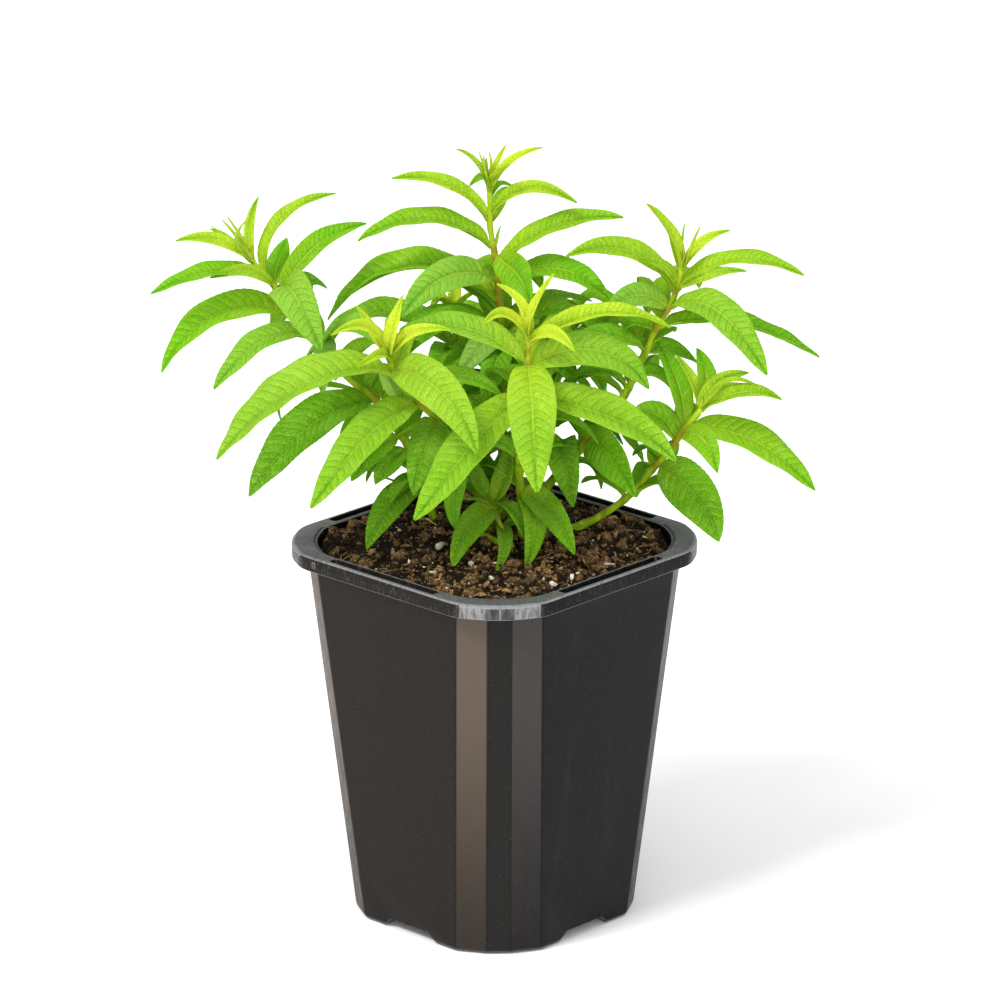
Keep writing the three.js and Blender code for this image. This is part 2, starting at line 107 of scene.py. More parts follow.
SHOOTS["left"] = {
    "stem": [(-16, 16, 119), (-23, 13, 141), (-28, 10, 157), (-33, 8, 165), (-38, 7, 173),
             (-47, 7, 181), (-56, 8, 193), (-61, 8, 199), (-67, 8, 205), (-71, 8, 212),
             (-75, 8, 217), (-79, 8, 222)],
    "radius": (1.5, 0.7),
    "leaves": [
        (216, (-72, 14, 228), (-51, 17, 241), 6.5, 35, -25, 0.25),
        (215, (-90, 3, 219), (-111, -1, 213), 8.5, 25, 25, 0.6),
        (209, (-57, 16, 224), (-41, 23, 229), 9, 25, -25, 0.6),
        (207, (-66, -10, 217), (-56, -20, 199), 14, 15, -25, 0.5, 0.45),
        (201, (-80, 7, 206), (-108, 0, 186), 14, 18, 20, 0.55),
        (194, (-72, -4, 199), (-91, -12, 184), 11.5, 18, 20, 0.55, 0.4),
        (174, (-55, -4, 172), (-80, -14, 148), 16.5, 22, 26, 0.86),
        (143, (-33, -3, 142), (-42, -15, 130), 11, 18, 25, 0.75),
    ],
    "small": [
        (220, (-95, 5, 229.8), (-103, 3, 229.4), 5.8, 38, 50, 0.15),
        (219, (-83, 10.6, 228), (-88, 12.5, 234), 2.2, 25, 0, 0.08),
        (220, (-82, 9.6, 229), (-86, 10.4, 235.4), 2.2, 25, 0, 0.08),
        (218, (-86, 9, 228), (-91.4, 10.5, 232.4), 2.4, 25, 0, 0.08),
        (220, (-79, 12, 232), (-76, 14, 241), 4.6, 40, -5, 0.2),
        (219, (-88, 16, 227), (-92, 22, 228), 4, 40, 0, 0.25),
        (219, (-83, 4, 232), (-80, 3, 236), 2.6, 35, 30, 0.3),
        (212, (-70, 20, 217), (-67, 28, 223), 8, 18, 0, 0.65),
        (212, (-83.5, 2, 219.6), (-92, 1, 217.5), 5.4, 25, 45, 0.32),
        (201, (-60, 16, 212), (-54, 17, 209), 9, 15, -35, 0.75),
        (193, (-55, -2, 194), (-56, -6, 180), 8, 15, -10, 0.6, 0.7),
        (191, (-46, -1, 202), (-36, -9, 197), 10, 15, -20, 0.7, 0.4),
        (172, (-43, 5, 168), (-50, 0, 158.5), 8.6, 18, 35, 0.85),
        (161, (-40.8, 3.6, 156.6), (-46.7, -2.5, 149), 9.6, 15, 45, 0.8),
        (156, (-33, 5, 154), (-39, -3, 148), 8.5, 15, 20, 0.85),
        (146, (-31, 1, 147), (-36, -5, 140), 5, 15, 10, 0.85),
        (177, (-70, 2, 174), (-69, 0, 168), 3.2, 20, 30, 0.8),
    ],
    "twigs": [
        ([(-25, 12, 147), (-31, 9, 152), (-37, 7, 160), (-41, 5, 163)], 0.75),
        ([(-31, 9, 152), (-35, 8, 154), (-40, 6, 156)], 0.5),
        ([(-33, 10, 145), (-37, 9, 147), (-42, 7, 151), (-44, 5, 152)], 0.35),
    ],
    "inner": [
        (205, 185, 24, 9, 0.6), (193, 205, 38, 11, 0.65), (183, 160, 36, 11, 0.75),
        (172, 215, 34, 10, 0.8), (171, 130, 30, 10, 0.85), (158, 180, 30, 9, 0.9),
        (156, 80, 24, 8, 0.95), (144, 230, 26, 8, 0.9),
    ],
}
SHOOTS["right"] = {
    "stem": [(8, 13, 119), (15, 14, 137), (28, 12, 154), (42, 11, 172), (49, 10, 187), (52, 9, 195),
             (55, 7, 201), (58, 6, 207), (60, 5, 214), (61, 4, 219)],
    "radius": (1.5, 0.7),
    "leaves": [
        (211, (39, 3, 226), (23, -3, 225), 9.5, 25, 35, 0.3),
        (212, (81, 2, 222), (100, -3, 218), 9.5, 22, -25, 0.33),
        (205, (69, -10, 210), (87, -24, 191), 13, 15, -20, 0.5, 0.3),
        (198, (81, 16, 196), (107, 17, 184), 13, 18, -15, 0.6),
        (204, (47, 3, 210), (36, 1, 206), 9, 15, 60, 0.6, 0.5),
        (158, (36, -7, 160), (45, -21, 149), 13.5, 12, -60, 0.6),
        (149, (21.5, 1, 160), (25, -16, 144), 12, 15, -10, 0.72),
    ],
    "small": [
        (217, (56.5, 2, 231.5), (49, -1, 242), 6.6, 34, 50, 0.12),
        (217, (69, 8, 227), (77, 12, 229), 4.6, 38, -35, 0.1),
        (216, (61, 6, 226), (61.6, 5.3, 233.4), 1.9, 25, 0, 0.08),
        (216, (64, 3, 226.5), (66.5, 2.1, 233.4), 2.3, 25, -30, 0.08),
        (216, (58, 9, 226), (57, 13, 229), 3, 38, 0, 0.2),
        (196, (48, 11, 198), (41, 13, 190), 8.6, 18, 20, 0.8),
        (180, (53, 14, 180.5), (58.4, 13, 174.4), 5.6, 15, -50, 0.8),
        (188, (57, 16, 188), (67, 18, 182), 7.4, 15, -45, 0.8),
        (211, (72, -1, 218.4), (81.5, -3, 219.6), 4.4, 25, -50, 0.3),
        (209, (54.5, 1, 220.6), (46.6, 0, 223), 4.6, 25, 55, 0.28),
        (189, (35, 7, 195), (21, -1, 185), 9, 15, 30, 0.9),
        (176, (35, 11, 182), (24, 5, 178), 7.5, 15, 20, 0.9),
        (155, (33, 17, 162), (43, 21, 153), 7, 15, 0, 0.9),
        (147, (30, 19, 148), (36, 23, 137), 6, 15, 0, 0.9),
        (140, (17, 7, 139), (21, 2, 129), 5.5, 15, 0, 0.9),
    ],
    "inner": [
        (208, 160, 34, 10, 0.55), (199, 190, 38, 11, 0.65), (190, 140, 22, 9, 0.75),
        (188, 215, 34, 11, 0.75), (176, 170, 34, 10, 0.8), (174, 275, 28, 9, 0.9),
        (162, 200, 30, 10, 0.85), (160, 110, 28, 9, 0.9), (147, 160, 26, 8, 0.9),
    ],
}
SHOOTS["front_left"] = {
    "stem": [(3, 10, 119), (-3, 6, 139), (-9, 0, 153), (-19, -9, 172), (-25, -13, 179),
             (-31, -17, 187), (-35, -21, 198)],
    "radius": (1.5, 0.7),
    "leaves": [
        (191, (-53, -29, 194), (-90, -36, 168), 18.5, 24, 14, 0.42, 0.3),
        (192, (-22, -37, 194), (-7, -57, 176), 15, 20, -48, 0.38, 0.25),
        (179, (-40, -33, 176), (-60, -50, 156), 14.8, 22, 22, 0.45, 0.2),
        (172, (-23, -27, 168), (-27, -35, 155), 12, 15, 20, 0.7),
    ],
    "small": [
        (197, (-40, -19, 206), (-45, -19, 214), 4.6, 28, 45, 0),
        (197, (-33, -25, 209), (-30, -21, 218), 6.2, 24, -50, 0),
        (196, (-47, -31, 211), (-53, -35, 209), 5.4, 30, 60, 0.05),
        (196, (-25, -27, 208), (-15, -30, 209), 5.4, 30, -60, 0.02),
        (195, (-40, -33, 201), (-45, -37, 199), 4.4, 30, 50, 0.15),
        (195, (-34, -13, 204), (-35, -7, 206), 4.6, 30, 0, 0.2),
        (188, (-35, -9, 188), (-30, -13, 177), 6.6, 15, 0, 0.6, 0.8),
        (180, (-13, -18, 190), (2, -22, 184), 7.4, 15, -30, 0.55, 0.2),
        (153, (-13, -10, 149), (-13, -14, 136), 7.2, 18, 0, 0.85),
    ],
    "inner": [
        (190, 160, 32, 10, 0.5), (180, 205, 32, 10, 0.7), (170, 120, 28, 9, 0.85),
        (160, 250, 26, 8, 0.85), (150, 180, 24, 8, 0.9),
    ],
}
SHOOTS["front"] = {
    "stem": [(9, 4, 119), (9, 0, 136), (8, -6, 153), (9, -14, 170), (10, -22, 184), (10, -28, 196),
             (10, -30, 207)],
    "radius": (1.5, 0.7),
    "leaves": [
        (203, (32, -25, 212), (56, -20, 206), 9, 35, -25, 0.15),
        (197, (-18, -20, 208), (-31, -13, 204), 12, 20, 20, 0.45, 0.3),
        (196.5, (10.4, -36, 192.5), (12, -57, 163), 16.6, 12, 0, 0.38, 0.15, 0.65),
        (196, (31, -27, 201), (49, -25, 187), 13, 15, -60, 0.5, 0.3),
        (183, (30, -31, 182), (57, -42, 168), 15.6, 34, -38, 0.4, 0.2),
        (184, (-2, -34, 178), (-27, -45, 150), 16.5, 20, 26, 0.45, 0.15),
        (146, (17, -17, 144), (25, -31, 133), 9.6, 20, -45, 0.66, 0, 0.15),
    ],
    "small": [
        (206, (7, -28, 218), (0, -26, 223), 4.4, 28, 35, -0.05),
        (206, (13, -34, 220), (18, -35, 229), 5.4, 28, -60, -0.02),
        (205, (0, -38, 216.5), (-5, -44, 214.5), 5.2, 30, 60, 0.03),
        (204, (19, -42, 211), (24, -51, 208), 5.6, 24, -60, 0.06),
        (204, (9, -22, 213), (9, -16, 215), 4.2, 30, 0, 0.15),
        (142, (12.5, -15, 140), (9.5, -22, 125.5), 8.6, 18, 0, 0.5, 0, 0.6),
        (158, (2, -6, 163.5), (-6, -4, 161), 5.6, 15, 45, 0.9),
    ],
    "inner": [
        (196, 180, 34, 11, 0.5), (184, 150, 34, 10, 0.7), (183, 215, 34, 10, 0.7),
        (170, 180, 30, 10, 0.85), (168, 90, 28, 9, 0.85), (155, 120, 26, 9, 0.9),
        (154, 165, 26, 8, 0.95), (146, 220, 24, 8, 0.9),
    ],
}
SHOOTS["low_right"] = {
    "stem": [(16, 12, 119), (20, 7, 126), (33, 4, 133), (44, 1, 142), (52, -3, 153), (57, -6, 160),
             (62, -7, 168), (67, -9, 175)],
    "radius": (1.3, 0.8),
    "leaves": [
        (167, (60, 5, 179), (53, 15, 191), 8.4, 25, 10, 0.6),
        (163, (53, -3, 171), (44, -4, 172), 10, 12, 40, 0.65),
        (168, (78, -8, 166), (104, -13, 148), 13, 15, -30, 0.5),
        (165, (67, -20, 168), (71, -30, 160), 9, 15, -40, 0.5),
        (155, (63, -16, 150), (72, -26, 135), 16, 12, -45, 0.76),
    ],
    "small": [
        (174, (73, -10, 184.5), (82, -12, 188), 6, 28, -60, 0.28),
        (174, (77, -13, 186), (86, -17, 184), 2.4, 30, -40, 0.2),
        (174, (81, -15, 182.5), (92, -22, 182), 6.4, 32, -50, 0.3),
        (173, (79, 4, 178), (87, 8, 176), 4.6, 35, -15, 0.2),
        (173, (69, 0, 184), (66, 6, 191), 7.4, 25, 0, 0.5),
        (174, (63.6, 0, 184), (59, 2, 190), 4.2, 35, 15, 0.2),
        (153, (50, 7, 150), (47, 11, 138), 8.6, 15, 0, 0.9),
        (156, (51, 11, 156), (46, 19, 150), 8, 15, 0, 0.9),
        (131, (22, -4, 129), (22, -7, 124), 3.6, 15, 0, 0.6),
    ],
    "inner": [
        (166, 170, 30, 10, 0.6), (163, 215, 26, 9, 0.8), (152, 150, 28, 9, 0.8), (144, 60, 26, 8, 0.85),
        (141, 210, 24, 8, 0.9),
    ],
}
SHOOTS["basal"] = {
    "bud": False,
    "ruddy": 0.0,
    "lush": 0.2,
    "twigs": [
        ([(9, -10.5, 121), (6.8, -8, 125.5), (3.4, -5, 131), (0, -3, 138)], 0.85),
        ([(5, -6, 122), (2.3, -4.1, 127.5), (-1.5, -2, 128.8), (-9.3, 3.3, 132), (-15, 8, 138)], 1.15),
    ],
    "stem": [(1, 5, 119), (2, 2, 130), (-1, -5, 142)],
    "radius": (0.85, 0.65),
    "leaves": [
        (140, (-8, -12, 137), (-14, -24, 127), 10, 18, 40, 0.68, 0, 0.9),
    ],
    "small": [
        (141, (4, -1, 151), (5.6, 3, 163), 8.6, 30, -5, 0.6, 0, 0.6),
        (141, (-6.5, 0, 150), (-8, 5, 161), 7, 34, 5, 0.7, 0, 0.5),
        (141, (-1, 6, 147), (-2, 12, 154), 6.5, 15, 0, 1),
        (141, (-6, -10, 145), (-11, -12, 146), 2.8, 30, 0, 0.4),
        (141, (6, -12, 141), (10, -18, 133), 8.6, 20, 0, 0.68, 0, 0.9),
        (132, (3, -15, 132), (0, -26, 126), 5.6, 20, 0, 0.66, 0, 0.9),
    ],
    "inner": [
        (130, 100, 20, 7, 0.9), (128, 260, 20, 7, 0.9), (136, 180, 20, 7, 0.9),
    ],
}
SHOOTS["rear_left"] = {
    "stem": [(-3, 22, 119), (-4, 36, 150), (-10, 44, 175), (-13, 48, 191)],
    "radius": (1.4, 0.8),
    "leaves": [
        (178, (-34, 52, 190), (-62, 56, 172), 14, 15, 10, 0.7),
        (177, (-4, 64, 188), (2, 86, 166), 14, 15, 0, 0.6),
        (160, (-18, 60, 168), (-28, 84, 146), 15, 15, 0, 0.7),
    ],
    "small": [
        (190, (-20, 46, 199), (-26, 44, 201), 5.4, 30, 40, 0.1),
        (190, (-12, 54, 200), (-13, 60, 203), 5, 30, 0, 0.1),
        (190, (-17, 46, 196), (-20, 45, 190), 6, 25, 0, 0.2),
        (190, (-6, 46, 198), (-1, 44, 200), 5, 30, 0, 0.2),
    ],
    "inner": [
        (178, 45, 30, 10, 0.6), (176, 330, 32, 11, 0.75), (162, 270, 34, 11, 0.75),
        (161, 60, 32, 11, 0.85), (147, 200, 32, 10, 0.8), (146, 310, 30, 10, 0.9),
        (145, 90, 28, 10, 0.9), (132, 250, 24, 8, 0.9), (131, 150, 24, 8, 0.9),
    ],
}
SHOOTS["rear_right"] = {
    "stem": [(12, 24, 119), (16, 38, 149), (23, 45, 171), (28, 49, 185)],
    "radius": (1.4, 0.8),
    "leaves": [
        (173, (44, 54, 186), (62, 58, 170), 12, 15, -10, 0.7),
        (174, (22, 66, 186), (17, 88, 164), 14, 15, 0, 0.6),
        (151, (36, 57, 152), (52, 66, 132), 14, 15, 0, 0.7),
    ],
    "small": [
        (184, (33, 48, 190), (38, 46, 191), 5.4, 30, -40, 0.55),
        (184, (29, 56, 191), (31, 62, 192), 5, 30, 0, 0.5),
        (184, (33, 45, 197), (46, 43, 189), 8.6, 18, -20, 0.6),
        (184, (21, 39, 197), (16, 36, 190), 8.6, 18, 0, 0.65, 0.4),
    ],
    "inner": [
        (172, 300, 32, 11, 0.75), (171, 40, 30, 10, 0.8), (166, 350, 34, 13, 0.8),
        (158, 190, 34, 11, 0.75), (157, 280, 32, 11, 0.85), (156, 90, 30, 10, 0.8),
        (143, 230, 30, 10, 0.85), (142, 330, 28, 9, 0.9), (141, 120, 28, 9, 0.85),
        (130, 180, 24, 8, 0.9),
    ],
}

# ---- meshes ----


def placed(name, data):
    """A new object in the scene."""
    made = bpy.data.objects.new(name, data)
    bpy.context.scene.collection.objects.link(made)
    return made


def store(mesh, name, values, domain="POINT"):
    """Keeps a number or a vector for each point or face, for the material to read."""
    kind, field = ("FLOAT_VECTOR", "vector") if values.ndim == 2 else ("FLOAT", "value")
    layer = mesh.attributes.new(name, kind, domain)
    layer.data.foreach_set(field, values.astype(np.float32).ravel())


def add_piece(name, points, faces, material, data, smooth=True):
    """A mesh piece from points in millimetres, riding on the plant's one body."""
    mesh = bpy.data.meshes.new(name)
    mesh.from_pydata((np.asarray(points) * MM).tolist(), [], faces)
    for key, values in data.items():
        store(mesh, key, values)
    mesh.materials.append(material)
    mesh.polygons.foreach_set("use_smooth", [smooth] * len(mesh.polygons))
    mesh.update()
    made = placed(name, mesh)
    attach(made, "root")
    return made


def unit(v):
    return v / np.maximum(np.linalg.norm(v, axis=-1, keepdims=True), 1e-9)


def smoothstep(low, high, x):
    t = np.clip((x - low) / (high - low), 0, 1)
    return t * t * (3 - 2 * t)


def circle(count):
    return np.arange(count) * 2 * math.pi / count


class Pile:
    """Several shells gathered into one mesh."""

    def __init__(self):
        self.points, self.faces, self.data, self.count = [], [], {}, 0

    def add(self, points, faces, data):
        self.points.append(points)
        self.faces += [tuple(i + self.count for i in f) for f in faces]
        self.count += len(points)
        for key, values in data.items():
            self.data.setdefault(key, []).append(values)

    def piece(self, name, material, slot, smooth=True):
        data = {key: np.concatenate(values) for key, values in self.data.items()}
        return add_piece(name, np.concatenate(self.points), self.faces, material, data, smooth)


def loft(rings):
    """A closed skin over rings of points, capped at both ends."""
    count = len(rings[0])
    faces = []
    for r in range(len(rings) - 1):
        for i in range(count):
            a, b = r * count + i, r * count + (i + 1) % count
            faces.append((a, b, b + count, a + count))
    last = (len(rings) - 1) * count
    faces.append(tuple(range(count))[::-1])
    faces.append(tuple(range(last, last + count)))
    return np.concatenate(rings), faces


# ---- stems ----

STEM = {"points": 240, "sides": 12, "rib": 0.05, "sunk": 0.4, "swell": 0.34}
TWIG = {"points": 30, "sides": 8, "from": 1.1, "to": 0.85, "kind": (0.2, 0.5, 0.0)}


def stem_line(points, count):
    """Evenly spaced points on the centripetal Catmull-Rom curve through the stem's points."""
    p = np.array(points, float)
    p = np.vstack([2 * p[0] - p[1], p, 2 * p[-1] - p[-2]])
    out = []
    for k in range(len(p) - 3):
        p0, p1, p2, p3 = p[k:k + 4]
        d0, d1, d2 = (max(np.linalg.norm(b - a) ** 0.5, 1e-4) for a, b in ((p0, p1), (p1, p2), (p2, p3)))
        t1 = ((p1 - p0) / d0 - (p2 - p0) / (d0 + d1) + (p2 - p1) / d1) * d1
        t2 = ((p2 - p1) / d1 - (p3 - p1) / (d1 + d2) + (p3 - p2) / d2) * d1
        t = np.linspace(0, 1, 40, endpoint=k == len(p) - 4)[:, None]
        square, cube = 3 * (p2 - p1) - 2 * t1 - t2, 2 * (p1 - p2) + t1 + t2
        out.append(p1 + t1 * t + square * t ** 2 + cube * t ** 3)
    dense = np.vstack(out)
    way = np.r_[0, np.cumsum(np.linalg.norm(np.diff(dense, axis=0), axis=1))]
    at = np.linspace(0, way[-1], count)
    return np.stack([np.interp(at, way, dense[:, k]) for k in range(3)], 1), way[-1]


def tube(line, radii, sides, rib=0.0, turn=0.0):
    """A closed tube along a line, with four shallow ribs if rib isn't 0."""
    way = unit(np.gradient(line, axis=0))
    across = unit(np.cross(np.array([0.0, 1.0, 0.0]), way))
    over = np.cross(way, across)
    angle = circle(sides)
    r = radii[:, None] * (1 + rib * np.cos(4 * angle + turn))[None]
    ring = across[:, None] * np.cos(angle)[None, :, None] + over[:, None] * np.sin(angle)[None, :, None]
    return loft(line[:, None] + ring * r[..., None])


# ---- leaves ----

LEAF = {
    "rise": 0.65, "fall": 0.88,  # how the outline swells from the base, and how it narrows to the tip
    "nose": 0.055, "blunt_nose": 0.035, "round_nose": 0.13,  # the tip's radius, in widths
    "stalk_half": 0.8, "thick": 0.32, "keel": 0.55,
    "vein_step": 2.9, "vein_bend": 0.42,
    "curl": 20, "most_fold": 62, "twist": 9, "sway": 0.02,
    "bite": 0.13, "quilt": 0.38, "groove": 0.36, "wave": 0.35,
    "full_size": 12,  # width from which teeth and relief have their full size
}
TOOTH = (-0.5, -0.05, 0.35, 0.5)  # one tooth of the margin, row by row towards the tip
NOSE_ROWS = np.array([0.7, 0.42, 0.2, 0.06, 0.0])  # the last rows before the tip, in nose radii from it
MESH = {"big": 0.45, "rear": 0.6, "small": 0.5, "inner": 0.85}  # length of a leaf's rows
ROWS, COLUMNS = (16, 150), (3, 10)  # fewest and most


class Arch:
    """The line of a leaf's midrib: from its base over its highest point to its tip."""

    def __init__(self, base, crest, tip):
        rise, run = np.linalg.norm(crest - base), np.linalg.norm(tip - crest)
        at = rise / (rise + run)
        self.base, self.tip = base, tip
        self.control = (crest - (1 - at) ** 2 * base - at * at * tip) / (2 * at * (1 - at))
        self.steps = np.linspace(0, 1, 200)
        self.way = np.r_[0, np.cumsum(np.linalg.norm(np.diff(self.place(self.steps), axis=0), axis=1))]
        self.length = self.way[-1]

    def place(self, t):
        t = t[:, None]
        return (1 - t) ** 2 * self.base + 2 * t * (1 - t) * self.control + t * t * self.tip

    def direction(self, t):
        t = t[:, None]
        return unit(2 * (1 - t) * (self.control - self.base) + 2 * t * (self.tip - self.control))


def leaf_outline(blade, length, nose, size, fine):
    """How far along the midrib each row of points lies, and the blade's half width there."""
    full = max(blade.blunt, 0.8 * (1 - blade.age / 0.5))
    ease, fall = LEAF["rise"] - 0.27 * full, LEAF["fall"]
    widest = ease / (ease + fall)
    last = (1 - widest) * (2 * nose * widest ** ease / blade.width) ** (1 / fall)
    beyond = max((last * length - nose) / (1 - last), 0.0)
    rows = int(np.clip(length / fine, *ROWS))
    along = np.r_[np.linspace(0, length - nose, rows), length - nose * NOSE_ROWS]
    share, reach = along / length, along / (length + beyond)
    half = blade.width / 2 * (reach / widest) ** ease * (np.maximum(1 - reach, 0) / (1 - widest)) ** fall
    half = half * (0.35 + 0.65 * smoothstep(0, 0.09 - 0.05 * full, share))
    left = length - along
    round_end = np.sqrt(np.maximum(2 * nose * left - left ** 2, 0))
    half = np.where(left < nose, np.minimum(half, round_end), half)
    half = np.maximum(half, 0.08 * size + 0.02)
    stalk = LEAF["stalk_half"] * min(1, blade.width / 10 + 0.25) * (1 - smoothstep(0.0, 0.3, share))
    return along, np.maximum(half, stalk)


def leaf_frame(arch, roll, along, share, rng):
    """The midrib's points, and the ways to the blade's right and up at each of them."""
    t = np.interp(along, arch.way, arch.steps)
    way = arch.direction(t)
    out = arch.tip - arch.base
    right = unit(np.array([out[1], -out[0], 0.0]))
    side = unit(right - (way @ right)[:, None] * way)
    up = np.cross(side, way)
    twist = rng.uniform(-LEAF["twist"], LEAF["twist"]) * np.sin(math.pi * share)
    twist = np.radians(roll + twist)[:, None]
    side, up = side * np.cos(twist) + up * np.sin(twist), up * np.cos(twist) - side * np.sin(twist)
    sway = rng.uniform(-LEAF["sway"], LEAF["sway"]) * arch.length * np.sin(2 * math.pi * share) * share
    return arch.place(t) + side * sway[:, None], side, up


def leaf_teeth(share, size, rng):
    """How far the left and the right margin stand out at each row."""
    i = np.arange(len(share))
    teeth = np.array(TOOTH)
    n = len(TOOTH)
    bites = rng.uniform(0.5, 1.4, (2, (len(share) - 1) // n + 2)).repeat(n, 1)[:, :len(share)]
    saw = np.stack([teeth[i % n], teeth[(i + n // 2) % n]]) * bites * LEAF["bite"] * size
    return saw * smoothstep(0.12, 0.25, share) * (1 - smoothstep(0.92, 0.97, share))


def leaf_section(fold, share, a, rng):
    """Each row's arched section: how far out and how high a point lies, in half widths."""
    fold = np.minimum(fold * (1 + 0.8 * np.exp(-share / 0.16) - 0.2 * share), LEAF["most_fold"])
    fold = np.radians(fold)[:, None]
    curl = math.radians(LEAF["curl"]) * rng.uniform(0.7, 1.2)
    x = (np.sin(fold + curl) - np.sin(fold + curl - 2 * curl * a)) / (2 * curl)
    z = (np.cos(fold + curl - 2 * curl * a) - np.cos(fold + curl)) / (2 * curl)
    return x, z


def vein_phase(blade, along, mid, widest_half, left, drift):
    """Counts the side veins along the blade: a whole number lies on each vein."""
    lean = min(max(0.12 + 0.45 * blade.age, 0.15), 0.5) + np.where(left, 0.06, 0.0)
    phase = along - lean * mid - LEAF["vein_bend"] * mid * mid / widest_half
    step = LEAF["vein_step"] * np.clip(blade.width / 14, 0.5, 1.1)
    phase = phase / step + np.where(left, 0.45, 0.0)
    phase = phase + 0.11 * np.sin(1.7 * phase + drift[0]) + 0.07 * np.sin(2.9 * phase + drift[1])
    return phase + 0.04 * np.sin(1.1 * mid + 0.5 * along + drift[0])


def leaf_relief(phase, along, share, a, mid, size, left, drift, rng):
    """How far the blade's surface lies above its plain section: pillows, midrib groove and waves."""
    share = share[:, None]
    body = size * smoothstep(0.03, 0.16, share) * (1 - smoothstep(0.88, 1, share))
    pillow = np.abs(np.sin(math.pi * phase)) ** 0.8
    strong = 0.75 + 0.35 * np.sin(2.2 * phase / 3 + drift[1])
    lift = LEAF["quilt"] * body * (pillow - 0.5) * strong * smoothstep(0.03, 0.2, a)
    lift = lift * (1 - smoothstep(0.8, 1, a)) - LEAF["groove"] * body * np.exp(-(mid / 0.5) ** 2)
    beat = 2 * math.pi / rng.uniform(12, 18)
    return lift + LEAF["wave"] * body * a * a * np.sin(beat * along + np.where(left, *drift[2]))


def leaf_thickness(width, share, a, mid):
    """Thin at the margins, with a keel under the midrib that is stout at the stalk."""
    share = share[:, None]
    keel = LEAF["keel"] * min(1, width / 10) * np.exp(-(mid / 0.45) ** 2) * (1 - 0.8 * share)
    stalk = LEAF["keel"] * min(1, width / 9) * (1 - smoothstep(0, 0.1, share))
    return LEAF["thick"] * (1 - 0.5 * a * a) + keel + stalk


def shell_faces(n, m):
    """Quads of a closed shell: an upper grid of n by m points, then a lower one."""
    k = n * m
    g = np.arange(k).reshape(n, m)
    skin = np.stack([g[:-1, :-1], g[:-1, 1:], g[1:, 1:], g[1:, :-1]], -1).reshape(-1, 4)
    rim = [np.stack([b, b + k, a + k, a], -1)
           for a, b in ((g[:-1, 0], g[1:, 0]), (g[1:, -1], g[:-1, -1]),
                        (g[0, 1:], g[0, :-1]), (g[-1, :-1], g[-1, 1:]))]
    return np.concatenate([skin, skin[:, ::-1] + k, *rim]).tolist()


def leaf(base, blade, rng, fine):
    """One leaf as a closed thin shell: its points, its faces and what its material reads."""
    arch = Arch(base, np.array(blade.crest, float), np.array(blade.tip, float))
    width, blunt = blade.width, blade.blunt
    size = min(1.0, width / LEAF["full_size"])
    nose = LEAF["nose"] + LEAF["blunt_nose"] * blunt + LEAF["round_nose"] * blunt ** 6
    nose = nose * width * rng.uniform(0.8, 1.15)
    along, half = leaf_outline(blade, arch.length, nose, size, fine)
    share = along / arch.length
    rib, side, up = leaf_frame(arch, blade.roll, along, share, rng)
    saw = leaf_teeth(share, size, rng)[..., None]
    cols = int(np.clip(width / 2 / (fine * 1.3), *COLUMNS))
    a = (np.arange(cols + 1) / cols) ** 0.93
    s = np.r_[-a[:0:-1], a]  # from the left margin to the right one
    a, left = np.abs(s), s < 0
    x, z = leaf_section(blade.fold, share, a, rng)
    along, half = along[:, None], half[:, None]
    mid = half * a
    scale = half + np.where(left, saw[0], saw[1]) * smoothstep(0.75, 1, a)
    drift = rng.uniform(0, 2 * math.pi, 6)
    drift = np.where(left, drift[0], drift[1]), np.where(left, drift[2], drift[3]), drift[4:]
    phase = vein_phase(blade, along, mid, half.max(), left, drift)
    lift = leaf_relief(phase, along, share, a, mid, size, left, drift, rng)
    top = rib[:, None] + side[:, None] * (np.sign(s) * scale * x)[..., None]
    top = top + up[:, None] * (scale * z + lift)[..., None]
    low = top - up[:, None] * leaf_thickness(width, share, a, mid)[..., None]
    n, m = phase.shape

    def both(*layers):
        grid = np.stack([np.broadcast_to(v, (n, m)) for v in layers], -1).reshape(-1, 3)
        return np.tile(grid, (2, 1))

    data = {
        "leaf_lines": both(phase, a, mid),
        "leaf_kind": both(blade.age, blade.tone, share[:, None]),
        "leaf_under": np.repeat([0.0, 1.0], n * m),
    }
    return np.concatenate([top.reshape(-1, 3), low.reshape(-1, 3)]), shell_faces(n, m), data


def inner_blade(line, height, azimuth, length, width, age, rng):
    """A leaf deeper in the plant, given by where it points."""
    start = line[line_index(line, height)]
    a = math.radians(azimuth + rng.uniform(-12, 12))
    out = np.array([math.sin(a), -math.cos(a), 0.0])
    lift, drop = rng.uniform(0.14, 0.26), rng.uniform(-0.02, 0.22)
    crest = start + length * (out * 0.46 + np.array([0, 0, lift]))
    tip = start + length * (out * 0.88 - np.array([0, 0, drop]))
    return Blade(height, crest, tip, width, 16, rng.uniform(-12, 12), 0.75 * age)


def line_index(line, height):
    return int(np.clip(np.searchsorted(line[:, 2], height), 1, len(line) - 2))


def leaf_base(line, radius, blade):
    """Where a leaf starts, on the side of the stem that its blade goes to."""
    i = line_index(line, blade.height)
    centre, way = line[i], unit(line[i + 1] - line[i - 1])
    out = np.array(blade.crest, float) - centre
    out = unit(out - (out @ way) * way)
    r = radius[0] + (radius[1] - radius[0]) * i / len(line)
    return centre + out * max(r - STEM["sunk"], 0.0), i


# ---- materials ----


